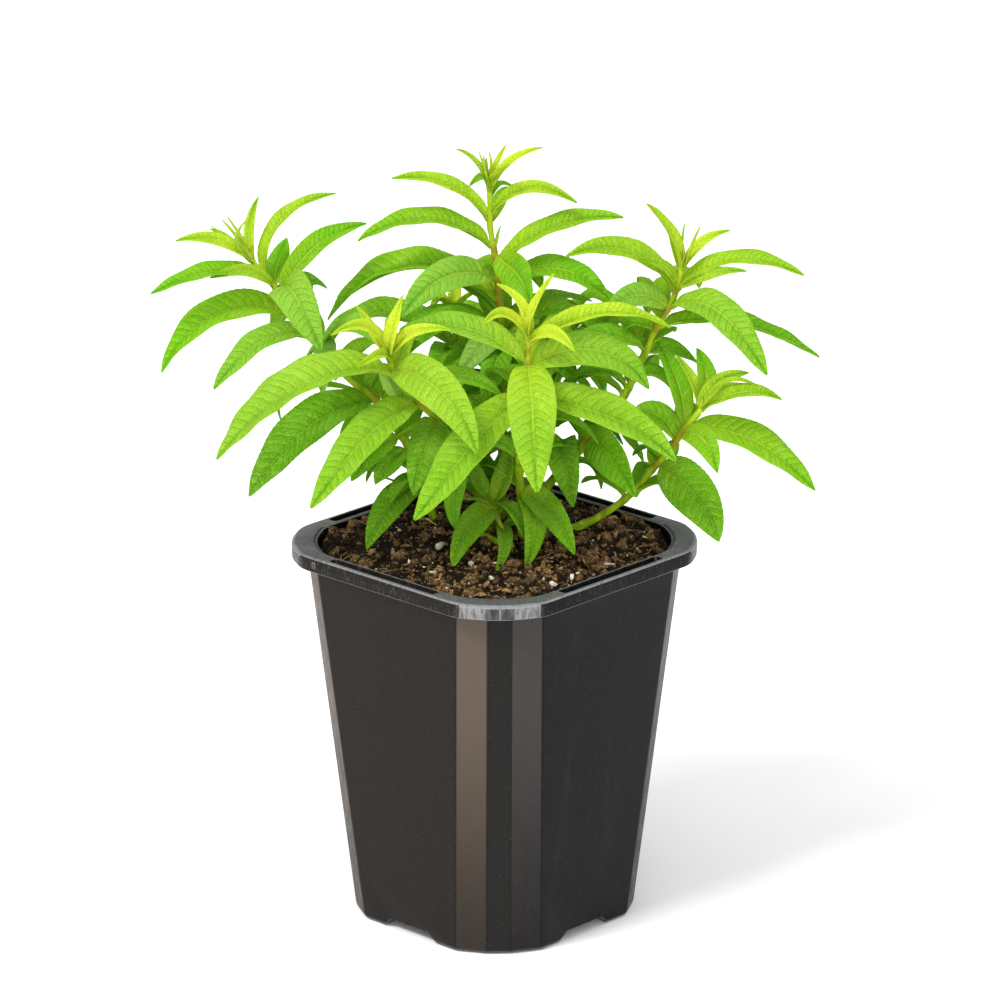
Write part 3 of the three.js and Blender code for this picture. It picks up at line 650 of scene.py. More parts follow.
class Shader:
    """A procedural material, with short calls for the nodes it is made of."""

    def __init__(self, name):
        self.material = bpy.data.materials.new(name)
        self.material.use_nodes = True
        self.tree = self.material.node_tree
        self.tree.nodes.clear()

    def node(self, kind, inputs=(), **settings):
        made = self.tree.nodes.new(kind)
        for key, value in settings.items():
            setattr(made, key, value)
        for key, value in dict(inputs).items():
            if isinstance(value, bpy.types.NodeSocket):
                self.tree.links.new(value, made.inputs[key])
            else:
                made.inputs[key].default_value = value
        return made

    def math(self, what, a, b=0.0, clamp=False):
        return self.node("ShaderNodeMath", {0: a, 1: b}, operation=what, use_clamp=clamp).outputs[0]

    def times(self, first, *more):
        for factor in more:
            first = self.math("MULTIPLY", first, factor)
        return first

    def plus(self, a, b, clamp=False):
        return self.math("ADD", a, b, clamp)

    def step(self, x, low, high, to_low=0.0, to_high=1.0):
        return self.node("ShaderNodeMapRange", {0: x, 1: low, 2: high, 3: to_low, 4: to_high},
                         interpolation_type="SMOOTHSTEP").outputs[0]

    def drop(self, x, low, high):
        return self.step(x, low, high, 1.0, 0.0)

    def mix(self, share, a, b, how="MIX"):
        a, b = ((*c, 1.0) if isinstance(c, tuple) else c for c in (a, b))
        inputs = {0: share, 6: a, 7: b}
        return self.node("ShaderNodeMix", inputs, data_type="RGBA", blend_type=how).outputs[2]

    def ramp(self, share, stops):
        made = self.node("ShaderNodeValToRGB", {0: share})
        band = made.color_ramp
        while len(band.elements) < len(stops):
            band.elements.new(0.5)
        for stop, (place, paint) in zip(band.elements, stops):
            stop.position, stop.color = place, (*paint, 1.0)
        return made.outputs[0]

    def read(self, name):
        """A number that is stored at the points or faces."""
        return self.node("ShaderNodeAttribute", attribute_name=name).outputs["Fac"]

    def read_vector(self, name):
        return self.node("ShaderNodeAttribute", attribute_name=name).outputs["Vector"]

    def split(self, socket):
        return self.node("ShaderNodeSeparateXYZ", {0: socket}).outputs

    def place(self):
        return self.node("ShaderNodeTexCoord").outputs["Object"]

    def stretched(self, place, stretch):
        return self.node("ShaderNodeMapping", {"Vector": place, "Scale": stretch}).outputs[0]

    def noise(self, scale, detail=3.0, rough=0.55, stretch=(1, 1, 1)):
        inputs = {"Vector": self.stretched(self.place(), stretch)}
        inputs |= {"Scale": scale, "Detail": detail, "Roughness": rough}
        return self.node("ShaderNodeTexNoise", inputs).outputs[0]

    def bump(self, height, strength, distance):
        inputs = {"Height": height, "Strength": strength, "Distance": distance}
        return self.node("ShaderNodeBump", inputs).outputs[0]

    def finish(self, through=None, share=0.0, **inputs):
        """Ends the material. through is the colour of the light that shines through it, if any does."""
        inputs = {key.replace("_", " "): value for key, value in inputs.items()}
        surface = self.node("ShaderNodeBsdfPrincipled", inputs).outputs[0]
        if through:
            passed = {"Color": through, "Normal": inputs["Normal"]}
            passed = self.node("ShaderNodeBsdfTranslucent", passed).outputs[0]
            surface = self.node("ShaderNodeMixShader", {0: share, 1: surface, 2: passed}).outputs[0]
        self.node("ShaderNodeOutputMaterial", {0: surface})
        return self.material


LEAF_AGES = [
    (0.0, (0.92, 0.98, 0.065)),
    (0.2, (0.65, 0.86, 0.045)),
    (0.35, (0.45, 0.71, 0.032)),
    (0.5, (0.33, 0.62, 0.020)),
    (0.75, (0.20, 0.61, 0.010)),
    (1.0, (0.12, 0.47, 0.008)),
]
LEAF_PAINT = {
    "toned": (0.45, 0.64, 0.20), "foot": (0.66, 0.82, 0.03), "darker": (0.50, 0.68, 0.45),
    "paler": (0.78, 0.92, 0.10), "under": (0.42, 0.62, 0.07), "under_veins": (0.60, 0.76, 0.10),
    "through": (0.42, 0.85, 0.012),
}
# veined: from which age to which the veins turn pale. The last two: how strongly, and in which
# colour, sheen is painted on the blade's pillows.
LEAF_LOOK = {"gloss": 0.07, "shine": 0.3, "relief": 0.00042, "veined": (0.55, 0.8), "sheen": 1.0,
             "sheen_colour": (0.54, 0.84, 0.15)}
LOW_LEAF_LOOK = {"gloss": 0.2, "shine": 0.22, "relief": 0.0016, "veined": (0.25, 0.5), "sheen": 1.3,
                 "sheen_colour": (0.50, 0.92, 0.14)}


def leaf_marks(m, phase, side, mid, old):
    """Where veins, their shaded side, the pillows' crowns, fine veins, the midrib and the net lie."""
    bend = m.times(m.math("SUBTRACT", m.noise(420.0, 2.0), 0.5), 0.10)
    lines = m.plus(phase, bend)
    inside = m.drop(side, 0.68, 0.93)
    vein = m.times(m.drop(m.math("PINGPONG", lines, 0.5), 0.0, 0.07), inside)
    cycle = m.math("FRACT", lines)
    shade = m.times(m.drop(cycle, 0.0, 0.32), inside)
    crown = m.times(m.step(cycle, 0.45, 0.85), m.drop(cycle, 0.88, 0.97), inside)
    thin = m.drop(m.math("PINGPONG", m.times(lines, 4.0), 0.5), 0.0, 0.22)
    width = m.step(old, 0.0, 1.0, 0.46, 0.30)
    middle = m.drop(mid, m.times(width, 0.5), width)
    flank = m.drop(mid, 0.35, 1.1)
    cells = {"Vector": m.stretched(m.place(), (1, 1, 1)), "Scale": 1050.0}
    cells = m.node("ShaderNodeTexVoronoi", cells, feature="DISTANCE_TO_EDGE")
    return vein, shade, crown, thin, middle, flank, m.drop(cells.outputs[0], 0.0, 0.22)


def leaf_colours(m, age, tone, side, along, firm, broad):
    """The colour that a leaf has grown to, and the darker and the paler one that marks are drawn with."""
    older = m.plus(age, m.step(broad, 0.3, 0.7, 0.06, -0.06), True)
    older = m.plus(older, m.step(along, 0.15, 0.9, -0.04, 0.10), True)
    grown = m.ramp(older, LEAF_AGES)
    grown = m.mix(m.times(m.step(tone, 0.0, 1.0), 0.55), grown, LEAF_PAINT["toned"])
    foot = m.times(m.drop(along, 0.02, 0.38), m.step(age, 0.3, 0.9, 0.6, 0.25))
    grown = m.mix(m.times(foot, m.step(side, 0.1, 0.9, 1.0, 0.5)), grown, LEAF_PAINT["foot"])
    dark = m.mix(firm, grown, m.mix(1.0, grown, LEAF_PAINT["darker"], "MULTIPLY"))
    return grown, dark, m.mix(0.5, grown, LEAF_PAINT["paler"])


def leaf_material(name, look):
    m = Shader(name)
    phase, side, mid = m.split(m.read_vector("leaf_lines"))
    age, tone, along = m.split(m.read_vector("leaf_kind"))
    under = m.read("leaf_under")
    old = m.step(age, *look["veined"])
    firm = m.step(age, -0.1, 0.28, 0.4, 1.0)
    fine = m.noise(850.0, 4.0, 0.6)
    speck = m.noise(2300.0, 2.0, 0.5)
    broad = m.noise(60.0, 2.0)
    cloud = m.noise(190.0, 4.0, 0.65)
    vein, shade, crown, thin, middle, flank, net = leaf_marks(m, phase, side, mid, old)
    grown, dark, pale = leaf_colours(m, age, tone, side, along, firm, broad)

    # The upper side: mottling, painted sheen, veins with painted shade and highlights beside them, midrib
    # and margin.
    paint = m.mix(m.step(fine, 0.40, 0.60, 0.0, 0.42), grown, dark)
    paint = m.mix(m.step(speck, 0.50, 0.68, 0.0, 0.34), paint, pale)
    # Painted sheen: pale patches on the pillows.
    bloom = m.times(m.step(cloud, 0.46, 0.66), m.step(fine, 0.35, 0.6, 0.25, 1.0))
    paint = m.mix(m.times(bloom, m.times(firm, 0.30 * look["sheen"])), paint, look["sheen_colour"])
    paint = m.mix(m.times(thin, 0.10), paint, dark)
    # Painted shade on one side of each vein, and a painted highlight on each pillow's crown.
    paint = m.mix(m.times(shade, 0.18), paint, dark)
    paint = m.mix(m.times(crown, 0.36 * look["sheen"]), paint, pale)
    line = m.mix(old, dark, pale)
    paint = m.mix(m.times(vein, m.step(old, 0.0, 1.0, 0.20, 0.45)), paint, line)
    paint = m.mix(m.times(net, 0.32), paint, line)
    paint = m.mix(m.times(flank, 0.26), paint, dark)
    bright = m.math("MAXIMUM", m.drop(along, 0.5, 0.9), m.times(old, 0.85))
    paint = m.mix(m.times(middle, 0.75), paint, m.mix(bright, dark, pale))
    margin = m.times(m.step(side, 0.92, 1.0, 0.0, 0.25), m.drop(along, 0.88, 0.96))
    paint = m.mix(margin, paint, pale)

    # The underside, where the veins are ridges.
    back = m.mix(0.3, grown, LEAF_PAINT["under"])
    ridge = m.math("MAXIMUM", m.times(vein, 0.5), middle)
    back = m.mix(m.times(ridge, 0.7), back, LEAF_PAINT["under_veins"])
    paint = m.mix(under, paint, back)

    height = m.plus(m.times(vein, -0.42), m.times(net, -0.45))
    height = m.plus(height, m.times(thin, -0.15))
    height = m.plus(height, m.times(crown, 0.35))
    height = m.times(height, m.math("SUBTRACT", 1.0, m.times(under, 2.0)))
    height = m.plus(height, m.times(fine, 0.7))
    normal = m.bump(height, 0.8, look["relief"])
    through = m.mix(0.25, paint, LEAF_PAINT["through"])
    coat = {"Coat_Weight": look["gloss"], "Coat_IOR": 1.8, "Coat_Roughness": look["shine"]}
    return m.finish(through, 0.38, Base_Color=paint, Roughness=0.6, Normal=normal, Specular_IOR_Level=0.0,
                    **coat, Coat_Normal=normal)


STEM_PAINT = {"green": ((0.14, 0.25, 0.004), (0.30, 0.43, 0.010)), "tip": (0.40, 0.56, 0.02),
              "brown": ((0.22, 0.105, 0.009), (0.34, 0.205, 0.014))}


def stem_material():
    m = Shader("stem_skin")
    red, high, _ = m.split(m.read_vector("stem_kind"))
    streak = m.noise(330.0, 3.0, 0.5, (1, 1, 0.12))
    blotch = m.noise(160.0)
    green = m.mix(m.step(streak, 0.35, 0.65), *STEM_PAINT["green"])
    green = m.mix(m.step(high, 0.8, 1.0, 0.0, 0.8), green, STEM_PAINT["tip"])
    brown = m.mix(m.step(blotch, 0.4, 0.6), *STEM_PAINT["brown"])
    share = m.math("MULTIPLY", red, m.step(streak, 0.3, 0.6, 0.3, 0.8), True)
    share = m.plus(share, m.step(blotch, 0.5, 0.75, 0.0, 0.2), True)
    paint = m.mix(share, green, brown)
    return m.finish(Base_Color=paint, Roughness=0.42, Normal=m.bump(streak, 0.5, 0.0003), IOR=1.2)


# The plastic's own two blacks, then what lies on it: from bloom and dust to edges that are partly worn and
# partly painted highlight, with painted light on the left walls and painted reflections on the corner
# facets.
POT_PAINT = {
    "black": ((0.0025, 0.0025, 0.0025), (0.006, 0.006, 0.006)), "streak": (0.018, 0.017, 0.016),
    "cloud": (0.010, 0.010, 0.009), "left_side_light": (0.016, 0.012, 0.010), "front": (0.015, 0.014, 0.013),
    "left_facet_reflection": (0.105, 0.080, 0.060), "right_facet_reflection": (0.050, 0.045, 0.043),
    "rim_facet_reflection": (0.30, 0.30, 0.295), "rim_front_reflection": (0.12, 0.12, 0.12), "scratch": (0.10, 0.10, 0.10),
    "dust": (0.16, 0.15, 0.14), "smear": (0.075, 0.085, 0.085), "edge": (0.24, 0.245, 0.25),
}


def pot_material():
    m = Shader("pot_plastic")
    facet, edge, rim = m.split(m.read_vector("pot_kind"))
    side, front, _ = m.split(m.read_vector("pot_face"))
    low = m.split(m.place())[2]
    mottle = m.noise(420.0, 4.0, 0.6, (1, 1, 0.45))
    streak = m.noise(150.0, 4.0, 0.65, (1, 1, 0.06))
    cloud = m.noise(28.0)
    scuff = m.noise(900.0, 5.0, 0.75, (1, 1, 0.35))
    grit = m.noise(1300.0, 3.0, 0.6)
    film = m.noise(95.0, 5.0, 0.7)
    paint = m.mix(m.step(mottle, 0.35, 0.65), *POT_PAINT["black"])
    paint = m.mix(m.step(streak, 0.5, 0.75, 0.0, 0.3), paint, POT_PAINT["streak"])
    paint = m.mix(m.step(cloud, 0.45, 0.75, 0.0, 0.25), paint, POT_PAINT["cloud"])
    # Painted light: walls that face left are lighter.
    paint = m.mix(m.step(side, 0.0, 0.6, 0.0, 0.7), paint, POT_PAINT["left_side_light"])
    # Painted light: the corners' middle facets are lighter.
    paint = m.mix(m.times(front, 0.8), paint, POT_PAINT["front"])
    # Painted reflections on the corners' side facets, tan on the left and grey on the right, fading
    # towards the bottom.
    body = m.times(m.math("SUBTRACT", 1.0, rim), m.step(low, 0.0, 0.10, 0.25, 1.0))
    paint = m.mix(m.times(m.step(facet, 0.0, 1.0), body, 0.85), paint, POT_PAINT["left_facet_reflection"])
    paint = m.mix(m.times(m.step(facet, 0.0, -1.0), body, 0.85), paint, POT_PAINT["right_facet_reflection"])
    # Painted reflections on the rim's corner facets, broken into patches by the scuff noise.
    reflection_patches = m.step(scuff, 0.35, 0.6, 0.35, 1.0)
    paint = m.mix(m.times(m.math("ABSOLUTE", facet), rim, reflection_patches, 0.85), paint, POT_PAINT["rim_facet_reflection"])
    paint = m.mix(m.times(front, rim, reflection_patches, 0.6), paint, POT_PAINT["rim_front_reflection"])
    lit = m.step(m.drop(side, -0.6, -0.1), 0.0, 1.0, 1.0, 0.5)
    scratch = m.times(rim, m.step(scuff, 0.52, 0.7, 0.0, 0.45), lit)
    paint = m.mix(scratch, paint, POT_PAINT["scratch"])
    dust = m.times(m.step(grit, 0.62, 0.70), m.step(rim, 0.0, 1.0, 0.12, 0.45))
    paint = m.mix(dust, paint, POT_PAINT["dust"])
    smear = m.times(m.step(film, 0.5, 0.66), m.step(edge, 0.3, 0.5, 0.0, 0.35))
    paint = m.mix(smear, paint, POT_PAINT["smear"])
    # Edges: partly real wear, partly painted highlight.
    worn = m.math("MULTIPLY", edge, m.step(scuff, 0.3, 0.55, 0.45, 1.0), True)
    paint = m.mix(m.times(worn, 0.8), paint, POT_PAINT["edge"])
    rough = m.step(mottle, 0.3, 0.7, 0.32, 0.48)
    return m.finish(Base_Color=paint, Roughness=rough, Normal=m.bump(mottle, 0.25, 0.0002), IOR=1.19)


# Soil matter: the darkest and lightest shade of its grains, then the odd shade that a few have.
CRUMB_PAINT = ((0.034, 0.019, 0.009), (0.60, 0.335, 0.14), (0.90, 0.62, 0.28))
BARK_PAINT = ((0.060, 0.030, 0.013), (0.62, 0.38, 0.16), (0.95, 0.76, 0.42))
PERLITE_PAINT = ((0.93, 0.86, 0.66), (0.97, 0.95, 0.86), (0.95, 0.82, 0.46))
FIBRE_SHADE = (0.4, 0.34, 0.3)
BED_PAINT = {"grains": ((0.036, 0.020, 0.010), (0.38, 0.22, 0.095)), "patch": (0.090, 0.050, 0.020),
             "speck": (0.70, 0.48, 0.22), "hollow": (0.006, 0.004, 0.002)}


def grain_material(name, shades, rough):
    dark, light, odd = shades
    m = Shader(name)
    shade = m.read("grain")
    own = m.stretched(m.read_vector("grain_at"), (0.25, 1.0, 1.0))
    fibre = m.node("ShaderNodeTexNoise", {"Vector": own, "Scale": 2.6, "Detail": 4.0}).outputs[0]
    fine = m.noise(900.0, 5.0, 0.7)
    paint = m.mix(shade, dark, light)
    paint = m.mix(m.step(shade, 0.88, 1.0), paint, odd)
    paint = m.mix(m.step(fibre, 0.38, 0.62, 0.0, 0.6), paint, m.mix(1.0, paint, FIBRE_SHADE, "MULTIPLY"))
    paint = m.mix(m.step(fine, 0.45, 0.6, 0.0, 0.75), paint, tuple(0.4 * c for c in dark))
    normal = m.bump(m.plus(fine, fibre), 0.8, 0.0006)
    return m.finish(Base_Color=paint, Roughness=rough, Normal=normal, IOR=1.22)


def bed_material(name):
    """The mix between the grains: brown on its crumbs, with paler specks, and painted near-black shade in
    its hollows.
    """
    m = Shader(name)
    out = m.read("stands_out")
    fine = m.noise(650.0, 6.0, 0.75)
    coarse = m.noise(240.0, 4.0, 0.6)
    speck = m.noise(1500.0, 3.0, 0.6)
    paint = m.mix(m.step(fine, 0.36, 0.62), *BED_PAINT["grains"])
    paint = m.mix(m.step(coarse, 0.45, 0.6, 0.0, 0.65), paint, BED_PAINT["patch"])
    paint = m.mix(m.step(speck, 0.57, 0.66, 0.0, 0.9), paint, BED_PAINT["speck"])
    # Painted shade: the hollows near black.
    paint = m.mix(m.step(out, 0.06, 0.5, 0.95, 0.0), paint, BED_PAINT["hollow"])
    normal = m.bump(m.plus(fine, speck), 1.0, 0.0012)
    return m.finish(Base_Color=paint, Roughness=0.75, Normal=normal, IOR=1.22)


def floor_material():
    m = Shader("floor_paper")
    paint = m.mix(m.step(m.noise(3.0), 0.3, 0.7), (0.94, 0.94, 0.94), (0.96, 0.96, 0.96))
    return m.finish(Base_Color=paint, Roughness=0.9)


# ---- pot ----

# rim, top, bottom, lip: half the width over the rim, of the body at its two ends, and of the mouth.
POT = {"height": 128, "rim": 55, "top": 51.2, "bottom": 40.7, "drop": 5, "skirt": 1.2, "lip": 49,
       "wall": 1.3, "floor": 1.8, "chamfer": 2.2}
CORNER = {"mid": 4, "side": 10.3, "turn": math.pi / 12, "soft": 0.9, "rim_soft": 3.7, "steps": 6}
GROOVE = {"length": 47, "width": 3.4, "depth": 3, "outer": 53.4, "round": 0.9}
CHANNEL = {"foot": 24, "top": 17, "height": 3.4, "from": 21, "cover": 1.5, "slant": 0.8}
DRAIN = {"radius": 3.6, "out": 31, "sides": 28}
GATE = {"height": 125.6, "along": 29.0, "sides": 20,
        "rings": ((1.0, -0.5), (1.0, 0.12), (0.85, 0.2), (0.5, 0.2), (0.4, 0.05))}  # radius, how far out
SEAM = {"half": 0.17, "in": 0.5, "out": 0.1}
BEVEL = {"width": 0.3, "over": 50, "sharp": 38}
UNDER = POT["height"] - POT["drop"]  # the flange's lower edge
HOLLOW = UNDER + 1.2  # the roof of the space behind the flange's skirt
SLACK = 0.1


def outline(half, soft, shrink=1.0):
    """The pot's outline at one height, with its facet corners slightly rounded."""
    mid, side = CORNER["mid"] * shrink, CORNER["side"] * shrink
    along, back = side * math.cos(CORNER["turn"]), side * math.sin(CORNER["turn"])
    reach = half * math.sqrt(2) - mid - along + back
    corner = [(-mid - along, back - reach), (-mid, -reach), (mid, -reach), (mid + along, back - reach)]
    sharp = []
    for k in range(4):
        c, s = math.cos(k * math.pi / 2), math.sin(k * math.pi / 2)
        sharp += [np.array((x * c - y * s, x * s + y * c)) for x, y in corner]
    ring = []
    for i, p in enumerate(sharp):
        before, after = unit(sharp[i - 1] - p), unit(sharp[(i + 1) % len(sharp)] - p)
        for t in np.linspace(0, 1, CORNER["steps"]):
            start, end = p + before * soft, p + after * soft
            ring.append((1 - t) ** 2 * start + 2 * t * (1 - t) * p + t * t * end)
    return np.array(ring)


def level(ring, z):
    return np.column_stack([ring, np.full(len(ring), z)])


def scratch(points, faces):
    mesh = bpy.data.meshes.new("scratch")
    mesh.from_pydata([tuple(p) for p in points], [], faces)
    return placed("scratch", mesh)


def baked(obj):
    """The mesh of a scratch object with its modifiers applied. The object is removed."""
    bpy.context.view_layer.update()
    mesh = bpy.data.meshes.new_from_object(obj.evaluated_get(bpy.context.evaluated_depsgraph_get()))
    bpy.data.objects.remove(obj)
    return mesh


def combine(target, others, how):
    for other in others:
        mod = target.modifiers.new("cut", "BOOLEAN")
        mod.operation, mod.solver, mod.object = how, "EXACT", other
    mesh = baked(target)
    for other in others:
        bpy.data.objects.remove(other)
    return placed("scratch", mesh)


def turned(points, eighths):
    a = eighths * math.pi / 4
    c, s = math.cos(a), math.sin(a)
    x, y, z = points.T
    return np.stack([x * c - y * s, x * s + y * c, z], 1)


def on_each_side(points, faces):
    return [scratch(turned(points, k), faces) for k in (1, 3, 5, 7)]


def bar(shape, x0, x1):
    """A prism along X of a shape given as (y, z) points, counter-clockwise seen from +X."""
    return loft([np.array([(x, y, z) for y, z in shape], float) for x in (x0, x1)])


def channel(grow, start, end):
    foot, top, high = CHANNEL["foot"] / 2 + grow, CHANNEL["top"] / 2 + grow, CHANNEL["height"] + grow
    left = [(-top, high), (-top - CHANNEL["slant"], high - 0.5), (-foot, 0), (-foot, -1)]
    return bar([(-y, z) for y, z in left[::-1]] + left, start, end)


def body_half(z):
    """Half the body's width at a height."""
    share = (z - POT["chamfer"]) / (HOLLOW - POT["chamfer"])
    return POT["bottom"] + (POT["top"] - POT["bottom"]) * share


def pot_rings():
    """The pot's skin, from the middle of its underside over the rim and down to its floor inside."""
    rim, lip, bottom, top = POT["rim"], POT["lip"], POT["bottom"], POT["height"]
    skirt = rim - POT["skirt"]
    body = [(bottom - 1.6, 0), (bottom - 0.7, 0.35), (bottom - 0.2, 1.1), (bottom, POT["chamfer"])]
    body += [(body_half(z), z) for z in (20, 45, 70, 95, 115, HOLLOW - 0.8)]
    flange = [(body_half(HOLLOW) + 0.3, HOLLOW), (skirt - 0.3, HOLLOW), (skirt, HOLLOW - 0.3),
              (skirt, UNDER + 0.25), (skirt + 0.25, UNDER), (rim - 0.35, UNDER), (rim - 0.1, UNDER + 0.25),
              (rim - 0.02, top - 1.0), (rim - 0.12, top - 0.5), (rim - 0.4, top - 0.15), (rim - 0.8, top),
              (lip + 0.9, top), (lip + 0.35, top - 0.12), (lip, top - 0.5)]
    inner, floor, mouth = bottom - POT["wall"], POT["floor"], top - 10
    inside = [(inner + (lip - 0.4 - inner) * z / mouth, z) for z in (mouth, 90, 60, 30)]
    inside += [(inner, floor + 1.5), (inner - 0.5, floor + 0.4), (inner - 1.5, floor)]
    rings = [level(outline(half, CORNER["soft"]), z) for half, z in body]
    rings += [level(outline(half, CORNER["rim_soft"]), z) for half, z in flange]
    return rings + [level(outline(half, CORNER["soft"]), z) for half, z in inside]


def channel_covers():
    """The raised floor over the four drain channels, as one solid that stops inside the wall."""
    limit = POT["bottom"] - POT["wall"] / 2 - 0.2
    covers = on_each_side(*channel(CHANNEL["cover"], CHANNEL["from"] - CHANNEL["cover"], limit))
    below = scratch(*bar([(-80, -9), (80, -9), (80, 0.4), (-80, 0.4)], -80, 80))
    return combine(combine(covers[0], covers[1:], "UNION"), [below], "DIFFERENCE")


def drain_cutters():
    angle = circle(DRAIN["sides"])
    ring = np.stack([DRAIN["out"] + DRAIN["radius"] * np.cos(angle), DRAIN["radius"] * np.sin(angle)], 1)
    channels = on_each_side(*channel(0, CHANNEL["from"], 60))
    return channels + on_each_side(*loft([level(ring, -2), level(ring, 9)]))


def groove_cutters():
    """The slots in the rim's top, with round ends."""
    r, y, x1 = GROOVE["round"], GROOVE["length"] / 2 - GROOVE["round"], GROOVE["outer"] - GROOVE["round"]
    x0 = GROOVE["outer"] - GROOVE["width"] + GROOVE["round"]
    shape = []
    for cx, cy, start in ((x1, y, 0), (x0, y, 90), (x0, -y, 180), (x1, -y, 270)):
        turn = np.radians(start + np.array([0, 30, 60, 90]))
        shape += list(zip(cx + r * np.cos(turn), cy + r * np.sin(turn)))
    top = POT["height"]
    return on_each_side(*loft([level(shape, top - GROOVE["depth"]), level(shape, top + 2)]))


def moulding_marks():
    """The mould's seam on the rim's front corner, and the round gate mark on the flange."""
    back = CORNER["side"] * (math.cos(CORNER["turn"]) - math.sin(CORNER["turn"]))
    front = back + CORNER["mid"] - POT["rim"] * math.sqrt(2)
    low, high = UNDER + 0.4, POT["height"] - 0.7
    y0, y1 = front - SEAM["out"], front + SEAM["in"]
    seam = bar([(y0, low), (y1, low), (y1, high), (y0, high)], -SEAM["half"], SEAM["half"])
    angle = circle(GATE["sides"])
    gate = [np.stack([r * np.cos(angle), np.full(len(angle), POT["rim"] + out), r * np.sin(angle)], 1)
            for r, out in GATE["rings"]]
    points, faces = loft(gate)
    return [scratch(*seam), scratch(turned(points + (GATE["along"], 0.0, GATE["height"]), 3), faces)]


def describe_pot(mesh):
    """Tells the material, face by face, where facets, edges, the flange and the two sides lie, for wear,
    painted reflections, painted highlights and painted light.
    """
    normals, centres = np.zeros((2, len(mesh.polygons) * 3))
    mesh.polygons.foreach_get("normal", normals)
    mesh.polygons.foreach_get("center", centres)
    normals, centres = normals.reshape(-1, 3), centres.reshape(-1, 3) / MM
    x, z, top = centres[:, 0], centres[:, 2], POT["height"]
    tilt = np.abs(normals[:, 2])
    outward = (normals[:, :2] * centres[:, :2]).sum(1) > 0
    wall = (tilt < 0.6) & outward
    rim = np.where(outward & (z > UNDER + SLACK), 1.0, 0.0)

    azimuth = np.degrees(np.arctan2(normals[:, 1], normals[:, 0]))
    off = np.abs((azimuth + 45) % 90 - 45)
    facet = np.where(wall, smoothstep(5, 12, off) * (1 - smoothstep(20, 32, off)), 0)
    facet = facet * -np.sign(normals[:, 0])
    facet = np.where((rim > 0) & (np.abs(normals[:, 0]) > 0.7), 0.35 * facet, facet)

    slanted, flat = (tilt > 0.25) & (tilt < 0.985), tilt > 0.985
    # edge: where wear and painted highlights lie, on slanted edges at the rim and foot and on the seam,
    # with a painted sheen over the flat rim top.
    edge = np.where(slanted & (z > 121), np.where(outward, 1.0, 0.7), 0.0)
    edge = np.where(slanted & (z < 4), 0.35, edge)
    edge = np.where((z > UNDER + 0.3) & (z < top - 0.6) & (np.abs(x) < 0.25), 0.8, edge)
    edge = np.where((z > top - 0.05) & flat, 0.46, edge)
    store(mesh, "pot_kind", np.stack([facet, edge, rim], 1), "FACE")

    # front marks the corners' middle facets, and side how far a wall faces left: the material paints light
    # and reflections with them.
    front = np.where(wall, np.exp(-(np.abs(normals[:, :2]).min(1) / 0.12) ** 2), 0.0)
    side = np.where(wall, -normals[:, 0], 0.0)
    store(mesh, "pot_face", np.stack([side, front, 0 * front], 1), "FACE")


def make_pot(material):
    pot = combine(scratch(*loft(pot_rings())), [channel_covers()], "UNION")
    pot = combine(pot, drain_cutters() + groove_cutters(), "DIFFERENCE")
    pot = combine(pot, moulding_marks(), "UNION")
    bevel = pot.modifiers.new("soft", "BEVEL")
    bevel.width, bevel.segments = BEVEL["width"], 2
    bevel.limit_method, bevel.angle_limit = "ANGLE", math.radians(BEVEL["over"])
    mesh = baked(pot)
    mesh.transform(Matrix.Scale(MM, 4))
    mesh.name = "pot_moulded"
    describe_pot(mesh)
    mesh.materials.clear()
    mesh.materials.append(material)
    mesh.polygons.foreach_set("use_smooth", [True] * len(mesh.polygons))
    mesh.set_sharp_from_angle(angle=math.radians(BEVEL["sharp"]))
    made = placed("pot_moulded", mesh)
    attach(made, "root")
    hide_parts("pot")


# ---- potting mix ----

# wall, corner: how far the mix reaches from the middle, towards the pot's sides and towards its corners.
MIX = {"wall": 48.3, "corner": 57.0, "edge": 121.5, "corner_pull": 0.84}
MIX_LEVELS = ((11, 125.2), (29, 124.6), (43, 123.4), (MIX["wall"], MIX["edge"]))  # distance, height
HEAP = {"high": 3.7, "from": -18, "to": 16, "dip": 0.9}
BED = {"around": 400, "rings": 92, "below": 3.0}


def distances(x, y):
    """How far points are from the middle, towards the pot's sides and towards its corners."""
    return np.maximum(np.abs(x + y), np.abs(x - y)) / math.sqrt(2), np.maximum(np.abs(x), np.abs(y))


def mix_height(x, y):
    """The height of the mix's surface, as in the frame."""
    side, corner = distances(x, y)
    return np.interp(np.maximum(side, corner * MIX["corner_pull"]), *zip(*MIX_LEVELS))


def heap(x, y):
    """How much higher the loose surface lies towards the far side, where it was filled to the rim."""
    dip = HEAP["dip"] * smoothstep(30, 48, np.abs(x)) * smoothstep(16, -4, y)
    return HEAP["high"] * smoothstep(HEAP["from"], HEAP["to"], y) - dip


def inside_pot(x, y, margin):
    side, corner = distances(x, y)
    return (side < MIX["wall"] - margin) & (corner < MIX["corner"] - margin * 1.2)


def ball(level):
    bm = bmesh.new()
    bmesh.ops.create_icosphere(bm, subdivisions=level, radius=1.0)
    points = np.array([v.co[:] for v in bm.verts])
    faces = [tuple(v.index for v in f.verts) for f in bm.faces]
    bm.free()
    return points, faces


def any_turn(rng):
    """The matrix of a random turn, from a random quaternion."""
    w, x, y, z = unit(rng.normal(size=4))
    return np.array([[1 - 2 * (y * y + z * z), 2 * (x * y + z * w), 2 * (x * z - y * w)],
                     [2 * (x * y - z * w), 1 - 2 * (x * x + z * z), 2 * (y * z + x * w)],
                     [2 * (x * z + y * w), 2 * (y * z - x * w), 1 - 2 * (x * x + y * y)]])


